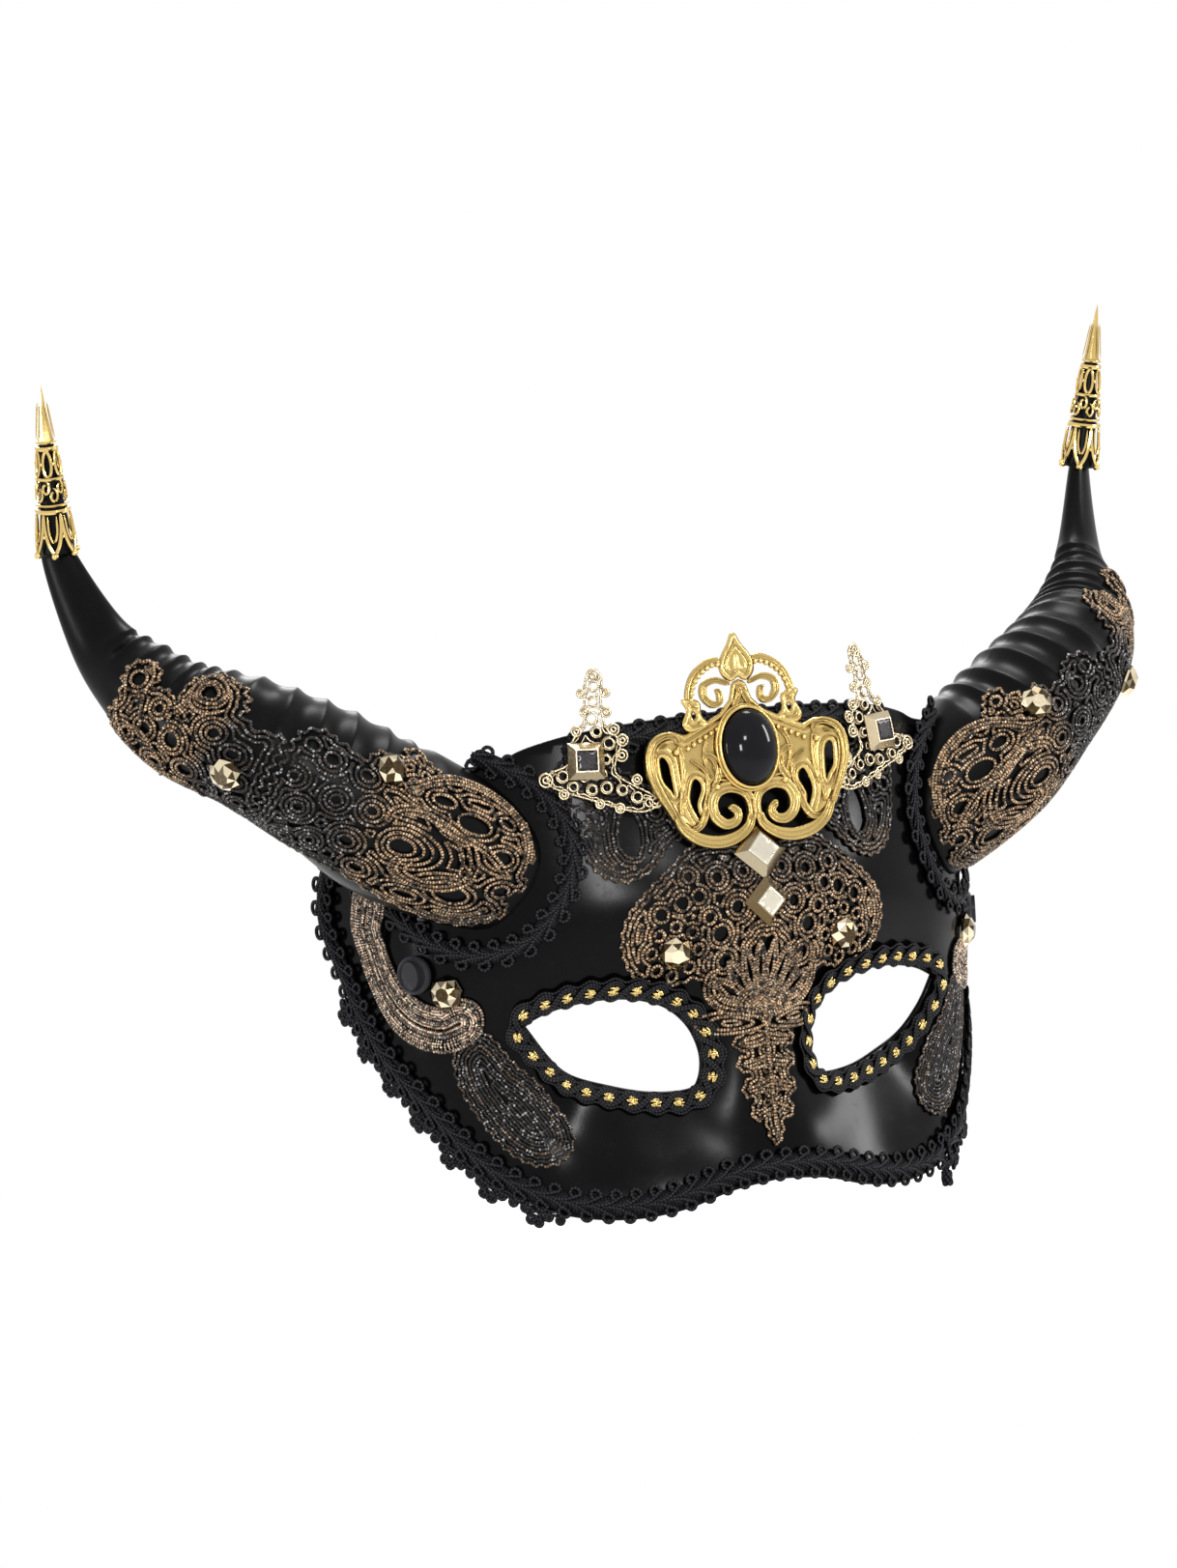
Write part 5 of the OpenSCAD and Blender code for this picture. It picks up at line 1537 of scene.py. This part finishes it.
class MASK_OT_crown(MaskPiece, bpy.types.Operator):
    """Stamped crown of scrolls: bordered plates, grooved strokes, beads and a spade on top"""
    bl_idname = "mask.crown"
    bl_label = "Crown"

    def build(self):
        touch = self.face.at(0.0, float(CROWN_TOUCH))[1] - PLATE_LO - 0.3
        back = touch + CROWN_LEAN * (CROWN_Z - CROWN_TOUCH)
        lean = math.atan(CROWN_LEAN)
        plane = Plane([0, back, CROWN_Z], [1, 0, 0], [0, math.sin(lean), math.cos(lean)])
        work = Work()
        half = walk(np.array(BIG_PANEL), 0.7)
        outline = walk(np.vstack([half, half[::-1] * [-1, 1]]), 0.7, closed=True)
        drops = [smooth(drop, 0.5, closed=True) for drop in DROPS]
        panel(work, plane, outline, drops + [drop * [-1, 1] for drop in drops], 0.34, relief, 0)
        panel(work, plane, smooth(both_halves(SPADE), 0.5, closed=True), [], 0.4, spade_relief, 0)
        arc = smooth(BEAD_ARC, 0.5)
        leg = smooth([[0.2, 15.4], [1.4, 12.6], [2.8, 10.4]], 0.5)
        for side in (-1, 1):
            hand = np.array([side, 1])
            panel(work, plane, smooth(LEAF_BUD, 0.5, closed=True), [BUD_HOLE], 0.4,
                  lambda d, p: relief(d, p) + 0.15, 0, side=side)
            for points, wide, high in CROWN_STROKES:
                path = smooth(points, 0.5)
                k = np.linspace(0, 1, len(path))
                taper = 0.72 + 0.42 * np.sin(np.pi * k)
                sweep(work, plane, path * hand, 0.55, wide * taper, high, GROOVED)
            sweep(work, plane, arc * hand, 0.5, 1.05, 0.6, GROOVED)
            for x, y in walk(arc, 1.7)[:-1] + [-0.5, -0.9]:
                ball(work, plane, side * x, y, 0.78, 0.55)
            for x, y in walk(np.array([[6.2, 6.4], [17, 1.4]]), 1.9):
                ball(work, plane, side * x, y - 0.2, 0.72, 0.7)
            sweep(work, plane, leg * hand, 0.7, 0.8, 0.9, GROOVED)
            ball(work, plane, side * 9.9, -9.2, 1.0, 0.7)
            ball(work, plane, side * 20.5, 0.6, 0.95, 0.8)
        work.make("crown_casting", self.fin["gold"](), replaces=["crown_plate"])
        self.stone(plane)

    def stone(self, plane):
        """Jet cabochon in a plain rolled cup."""
        s = self.s
        a, b = s["stone_w"] / 2, s["stone_h"] / 2
        edge = 1.2                           # straight side of the stone, above its seat
        rows, cols = 22, 72
        w = np.linspace(0, 2 * np.pi, cols, endpoint=False)
        ring = np.column_stack([np.cos(w), np.sin(w)])
        points = [np.column_stack([ring * [a, b], np.zeros(cols)])]
        for k in np.linspace(0, np.pi / 2, rows)[:-1]:
            rise = np.full(cols, edge + s["stone_rise"] * math.sin(k))
            points.append(np.column_stack([ring * [a, b] * math.cos(k), rise]))
        points = np.vstack(points + [[[0, 0, edge + s["stone_rise"]]]])
        seat = s["plate_t"] + 0.4
        at, _ = plane.lay(points[:, :2], points[:, 2] + seat)
        last = (rows - 1) * cols
        dome = Work()
        dome.add(at, quads=bands(rows, cols),
                 tris=[[last + j, last + (j + 1) % cols, len(at) - 1] for j in range(cols)]
                 + [[0, j + 1, j] for j in range(1, cols - 1)])
        dome.make("jet_stone", self.fin["jet"](), replaces=["cabochon"])
        cup = Work()
        loop = oval(0, 0, a + 0.55, b + 0.55, w)
        sweep(cup, plane, loop, s["plate_t"] + 1.0, 0.62, 1.0, FINE_ROUND, closed=True)
        sweep(cup, plane, loop * 1.06, s["plate_t"] + 0.35, 0.5, 0.5, FINE_ROUND, closed=True)
        panel(cup, plane, loop, [], 1.5, lambda d, p: seat + 0 * d, s["plate_t"])
        cup.make("stone_cup", self.fin["gold"](), replaces=["cabochon_cup"])


CORNER_SHAPE = [[-3, 9], [-6.4, 4.4], [-4.4, -3.2], [-13, -9.6], [-14.6, -12], [-9, -13.6],
    [3, -9.2], [12.4, -5], [12.8, -1.8], [7.4, 0.4], [5.8, 6], [2.2, 11], [1.6, 16], [0.6, 21.6],
    [-1.4, 23.4], [-3.4, 21.8], [-2.6, 16]]
CORNER_HOLES = [(-1.3, 19.6, 0.9), (-0.7, 15.6, 0.8), (0.2, 11.4, 1.0), (-0.6, 7.8, 0.8),
    (9.4, -2.6, 1.0), (7, -5.6, 0.8), (-3.4, 4.6, 1.0), (-2.2, 0.6, 0.7), (-1.6, -6.6, 0.9),
    (-5.6, -7.6, 0.8), (-9.2, -9.8, 0.9), (-12, -11.6, 0.7), (2.2, -6.8, 0.8)]


CORNER_LOOPS = [(-1.4, 22.2, 1.6), (13.8, -3.2, 1.7), (-13.8, -11.4, 1.6), (-6.4, 1.2, 1.5),
    (-7, 5, 1.4), (-5, 8, 1.4), (1.8, 13.2, 1.1), (-3.6, 12.6, 1.1), (2.2, 18, 1.0),
    (-4, 17.6, 1.0), (9.6, -7.2, 1.2), (-4.4, -12.2, 1.2), (4.6, 8.4, 1.2), (-9.6, -5.4, 1.2),
    (0.6, -10.6, 1.1)]
CORNER_AT = 27.0, 70.0   # bearing and height of a corner piece


class MASK_OT_corner_pieces(MaskPiece, bpy.types.Operator):
    """Pale filigree corner pieces: a pierced plate edged with twisted wire, loops and grains"""
    bl_idname = "mask.corner_pieces"
    bl_label = "Corner pieces"

    def build(self):
        b, z = CORNER_AT
        n = self.face.normal(np.array(b), np.array(z))
        right = unit(np.cross([0, 0, 1], n))
        plane = Plane(self.face.place(b, z), right, np.cross(n, right))
        low = PLATE_LO
        outline = smooth(CORNER_SHAPE, 0.6, closed=True)
        wave = 0.12 * np.sin(np.arange(len(outline)) * 2.1)
        for name, side in SIDES.items():
            work = Work()
            lace(work, plane, CORNER_SHAPE, CORNER_HOLES, 1.35, 0.27, h=low + 0.36, frill=0.3)
            sweep(work, plane, outline, low + 0.55 + wave, 0.32, 0.34, closed=True)
            turn = np.linspace(0, 2 * np.pi, 14, endpoint=False)
            for x, y, r in CORNER_HOLES:
                sweep(work, plane, oval(x, y, r + 0.3, r + 0.3, turn), low + 0.8, 0.3, 0.35,
                      closed=True)
            turn = np.linspace(0, 2 * np.pi, 18, endpoint=False)
            for x, y, r in CORNER_LOOPS:
                for size in (1.0, 0.45):
                    sweep(work, plane, oval(x, y, size * r, size * r, turn),
                          low + 0.55 + 0.15 * (1 - size), 0.34, 0.36, closed=True)
            for x, y in walk(outline, 2.6, closed=True)[::2]:
                ball(work, plane, x, y, 0.55, low + 0.6)
            if side < 0:
                work.mirror()
            work.make(f"{name}_corner_wirework", self.fin["pale_gold"](),
                      replaces=[f"{name}_corner_filigree"])


# All on the skin of a cap: length from its open end and angle in degrees.
CAP_BANDS = ((12.0, 0.62, 0.5), (13.6, 0.32, 0.36), (20.4, 0.42, 0.42), (28.2, 0.62, 0.5),
             (29.8, 0.34, 0.34))             # place, half width and half height
CAP_PETAL = ((12, 30), (8, 27), (4, 17), (1.6, 5), (0.9, 0))
CAP_VEIN = ((11, 15), (7, 13), (4.6, 5), (4.4, 0))
SPIKE = ((29.4, 0.1), (31, -0.35), (36, -0.5), (40, -0.55), (43.6, -0.6))   # place and height


class MASK_OT_horn_caps(MaskPiece, bpy.types.Operator):
    """Pierced gold caps: pointed petals with balls, bands, scrolls, slots and a faceted spike"""
    bl_idname = "mask.horn_caps"
    bl_label = "Horn caps"

    def build(self):
        s = self.s
        for name, horn in self.horns.items():
            foot = horn.centre(0.875) * [horn.side, 1, 1]
            tip = np.array(TIP_POINT) + horn.root
            tip = foot + s["cap_length"] * unit(tip * [horn.side, 1, 1] - foot)
            cone = Cone(foot, tip, s["cap_r"], 0.9)
            work = Work()
            full = np.arange(0, 360, 12)
            for at, wide, high in CAP_BANDS:
                ring = np.column_stack([np.full(len(full), at), full])
                sweep(work, cone, ring, 0.1, wide, high, closed=True)
            for a in range(0, 360, 60):
                self.openwork(work, cone, a)
            self.spike(work, cone)
            work.make(f"{name}_cap_filigree", self.fin["cap_gold"](), crease=40)
            core = Work()
            inner = Cone(foot, tip, s["cap_r"] - 1.0, 0.5)
            xs, aa = np.meshgrid(np.linspace(0.2, 31, 28), np.arange(0, 361, 15), indexing="ij")
            grid = np.column_stack([xs.ravel(), aa.ravel()])
            outer, under = (inner.lay(grid, h)[0].reshape(xs.shape + (3,)) for h in (0, -0.4))
            wall(core, outer, under)
            core.make(f"{name}_cap_lining", self.fin["horn"](),
                      replaces=[f"{name}_horn_cap"])

    def openwork(self, work, cone, a):
        """One sixth of the pierced skin, from angle a on."""
        for turn in (-1, 1):
            for line, h, wide, high in ((CAP_PETAL, 0.05, 0.5, 0.42), (CAP_VEIN, 0.1, 0.3, 0.3)):
                path = smooth([[x, a + turn * w] for x, w in line], 1.2)
                sweep(work, cone, path, h, wide, high)
        ball(work, cone, 0.7, a, 0.95, 0.2)
        ball(work, cone, 5.6, a + 30, 0.6, 0.0)
        coil = np.radians(np.arange(0, 400, 30))
        size = 2.0 - 1.3 * coil / coil[-1]
        for hand, at in ((1, 16.2), (-1, 18.2)):
            path = np.column_stack([at + size * np.cos(hand * coil),
                                    a + 15 * hand + 15 * size / 1.6 * np.sin(coil)])
            sweep(work, cone, path, 0.1, 0.36, 0.36)
        ball(work, cone, 24.3, a + 30, 0.6, 0.05)
        slot = oval(24.3, a, 3.3, 20, np.linspace(0, 2 * np.pi, 22, endpoint=False))
        sweep(work, cone, slot, 0.06, 0.4, 0.4, closed=True)

    def spike(self, work, cone):
        """Eight-sided solid point with raised edges."""
        sides = 8
        facets = np.arange(0, 360, 360 // sides) + 10
        rows = SPIKE + ((cone.length + 1.4, -0.72),)
        skin = np.array([cone.lay(np.column_stack([np.full(sides, x), facets]), h)[0]
                         for x, h in rows])
        end = (len(rows) - 1) * sides
        lids = [[0, k, k - 1, k - 2] for k in (7, 5, 3)]
        lids += [[end, end + k, end + k + 1, end + k + 2] for k in (1, 3, 5)]
        work.add(skin, quads=np.vstack([bands(len(rows), sides), lids]))
        for a in facets:
            edge = np.column_stack([np.linspace(30.2, 40, 10), np.full(10, float(a))])
            sweep(work, cone, edge, np.linspace(0.25, 0.05, 10), 0.16, 0.14)


class MASK_OT_studs(MaskPiece, bpy.types.Operator):
    """Cut studs, flat-topped diamonds and tie buttons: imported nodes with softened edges"""
    bl_idname = "mask.studs"
    bl_label = "Studs and buttons"

    def build(self):
        fin = self.fin
        kinds = [("upper_diamond_stud", "brass", 0.2), ("lower_diamond_stud", "brass", 0.2)]
        for name in SIDES:
            kinds += [(f"{name}_{part}", kind, bevel) for part, kind, bevel in (
                ("forehead_stud", "stud", 0.12), ("temple_stud", "stud", 0.12),
                ("horn_studs", "stud", 0.12), ("corner_stud", "pale_gold", 0.3),
                ("tie_button", "button", 0.2))]
        for node, kind, bevel in kinds:
            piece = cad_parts[node]
            for slot in piece.material_slots:
                slot.link = "OBJECT"
                slot.material = fin[kind]()
            if "corner" in node:
                self.flat_top(piece, fin["dark_mirror"](), "dark_mirror")
            elif "diamond" in node:
                # painted highlight: the diamond's flat top gets the pale lit plate, its sides the
                # darker shaded one
                self.flat_top(piece, fin["pale_top"](), "pale_gold")
            edge = piece.modifiers.new("Softened edges", "BEVEL")
            edge.width, edge.segments, edge.limit_method = bevel * MM, 2, "ANGLE"
            edge.angle_limit = math.radians(24)

    def flat_top(self, piece, material, slot):
        """Gives the flat top of a stud its own mirror finish, as a thin inlaid plate."""
        points = np.array([list(v.co) for v in piece.data.vertices]) / MM
        normals = np.array([list(p.normal) for p in piece.data.polygons])
        areas = np.array([p.area for p in piece.data.polygons])
        lean = np.array([0, -1, 0.1])        # roughly the way that the tops look
        best = max(range(len(areas)), key=lambda k: areas[k] * (normals[k] @ lean > 0.5))
        depth = points @ normals[best]
        top = np.unique(np.round(points[depth > depth.max() - 0.05], 3), axis=0)
        centre = top.mean(axis=0)
        n = normals[best] / np.linalg.norm(normals[best])
        if (points.mean(axis=0) - centre) @ n > 0:
            n = -n
        right = unit(top[0] - centre)
        plane = Plane(centre, right, np.cross(n, right))
        r = np.linalg.norm(top[0] - centre)
        loop = walk(np.array([[r, 0], [0, r], [-r, 0], [0, -r]]) * 0.88, 0.5, closed=True)
        work = Work()
        panel(work, plane, loop, [], 0.7, lambda d, p: 0.12 + 0 * d, -0.1)
        work.make(f"{piece.name}_top", material)


# Name, power and the share of it, turn and rise in degrees, then metres: reach, width, height.
LAMPS = (("Front", "key_power", 0.8, -18, 3.5, 1.35, 0.13, 0.2),
         ("Front low", "key_power", 0.5, -2, 17, 1.35, 0.14, 0.12),
         ("Right", "fill_power", 1.0, 61, 16.5, 1.1, 0.12, 0.4),
         ("Left", "fill_power", 1.0, -93, -3, 1.1, 0.09, 0.6),
         ("Top", "top_power", 1.0, 110, 70, 1.0, 0.5, 0.25),
         ("Back", "back_power", 1.0, 160, 30, 1.3, 0.4, 0.4))
FLOOR_REACH = 3.0        # metres from the middle to each edge


class MASK_OT_stage(bpy.types.Operator):
    """Pale floor, soft lamps, the surround and the camera"""
    bl_idname = "mask.stage"
    bl_label = "Stage"
    bl_options = {"REGISTER", "UNDO"}

    def execute(self, context):
        scene, st = context.scene, context.scene.mask_stage
        low, high = (Vector(v) for v in cad_box)
        middle = (low + high) / 2
        self.floor(low.z - st.floor_gap)
        back = Vector(st.camera_back).normalized()
        right = Vector((0, 0, 1)).cross(back).normalized()
        up = back.cross(right)
        roll = Matrix.Rotation(-st.camera_roll, 3, back)
        right, up = roll @ right, roll @ up
        turn = Matrix((right, up, back)).transposed().to_4x4()
        data = bpy.data.cameras.new("Camera")
        data.lens, data.sensor_width, data.sensor_height = st.lens, 36, 36
        data.clip_start, data.clip_end = 0.05, 50
        camera = bpy.data.objects.new("Camera", data)
        camera.matrix_world = Matrix.Translation(Vector(st.camera_place)) @ turn
        scene.collection.objects.link(camera)
        scene.camera = camera
        for name, power, share, turn, rise, reach, wide, high in LAMPS:
            w, v = math.radians(turn), math.radians(rise)
            way = Vector((math.sin(w) * math.cos(v), -math.cos(w) * math.cos(v), math.sin(v)))
            self.lamp(name, middle + reach * way, middle, wide, high, share * getattr(st, power))
        self.surround(scene, st.world_strength)
        scene.view_settings.view_transform = "Standard"
        return {"FINISHED"}

    def lamp(self, name, place, aim, wide, high, power):
        data = bpy.data.lights.new(name, "AREA")
        data.shape, data.size, data.size_y, data.energy = "RECTANGLE", wide, high, power
        lamp = bpy.data.objects.new(name, data)
        lamp.location = place
        lamp.rotation_euler = (aim - place).to_track_quat("-Z", "Y").to_euler()
        bpy.context.scene.collection.objects.link(lamp)

    def floor(self, z):
        """White card that fades into the surround and lights the mask evenly."""
        r = FLOOR_REACH
        mesh = bpy.data.meshes.new("Floor")
        mesh.from_pydata([(-r, -r, z), (r, -r, z), (r, r, z), (-r, r, z)], [], [(0, 1, 2, 3)])
        floor = bpy.data.objects.new("Floor", mesh)
        bpy.context.scene.collection.objects.link(floor)
        f = Finish("floor_card")
        flat = f.node("ShaderNodeVectorMath", {0: f.spots, 1: (1.0, 1.0, 0.0)},
                      operation="MULTIPLY").outputs[0]
        far = f.node("ShaderNodeVectorMath", {0: flat}, operation="LENGTH").outputs["Value"]
        seen = f.seen()
        near = f.blend(f.noise(0.02, 3.0), rgba([0.8] * 3), rgba([0.84] * 3))
        away = f.blend(seen, rgba([0.8] * 3), rgba([0.0] * 3))
        glow = f.spread(far, 0.18, 0.55, 0.62, 1.0)
        f.set(Base_Color=f.blend(f.spread(far, 0.18, 0.55), near, away), Roughness=0.9,
              Specular_IOR_Level=0.0, Emission_Color=(1.0, 1.0, 1.0, 1.0),
              Emission_Strength=f.math("MULTIPLY", seen, glow))
        mesh.materials.append(f.material)

    def surround(self, scene, strength):
        """Soft light from all round, plain white wherever the camera sees it."""
        world = bpy.data.worlds.new("Surround")
        world.use_nodes = True
        world.node_tree.nodes.clear()
        n = Nodes(world.node_tree)
        lit = n.node("ShaderNodeBackground", {"Color": (0.95, 0.97, 1.0, 1.0),
                                              "Strength": strength}).outputs[0]
        white = n.node("ShaderNodeBackground", {"Color": (1.0, 1.0, 1.0, 1.0)}).outputs[0]
        mix = n.node("ShaderNodeMixShader", {0: n.seen(), 1: lit, 2: white}).outputs[0]
        n.node("ShaderNodeOutputWorld", {"Surface": mix})
        scene.world = world


STEPS = (MASK_OT_face_shell, MASK_OT_horns, MASK_OT_gimp, MASK_OT_picots, MASK_OT_eye_trim,
         MASK_OT_centre_lace, MASK_OT_side_lace, MASK_OT_horn_lace, MASK_OT_crown,
         MASK_OT_corner_pieces, MASK_OT_horn_caps, MASK_OT_studs, MASK_OT_stage)


class MASK_PT_pieces(bpy.types.Panel):
    """Lists the operators that build the mask, in order"""
    bl_label = "Horned mask"
    bl_idname = "MASK_PT_pieces"
    bl_space_type = "VIEW_3D"
    bl_region_type = "UI"
    bl_category = "Mask"

    def draw(self, context):
        for step in STEPS:
            self.layout.operator(step.bl_idname)
        for name in GROUPS:
            box, group = self.layout.box(), getattr(context.scene, name)
            for key in settings_in(group):
                box.prop(group, key)


GROUPS = {"mask_sizes": MaskSizes, "trim_sizes": TrimSizes, "mask_colours": Colours,
          "mask_stage": StageSettings}


def register():
    for key, group in GROUPS.items():
        bpy.utils.register_class(group)
        setattr(bpy.types.Scene, key, bpy.props.PointerProperty(type=group))
    for kind in STEPS + (MASK_PT_pieces,):
        bpy.utils.register_class(kind)


def unregister():
    for kind in (MASK_PT_pieces,) + STEPS[::-1]:
        bpy.utils.unregister_class(kind)
    for key, group in GROUPS.items():
        delattr(bpy.types.Scene, key)
        bpy.utils.unregister_class(group)


def main():
    register()
    for step in STEPS:
        area, name = step.bl_idname.split(".")
        getattr(getattr(bpy.ops, area), name)()
    bpy.context.view_layer.update()


if __name__ == "__main__":
    main()
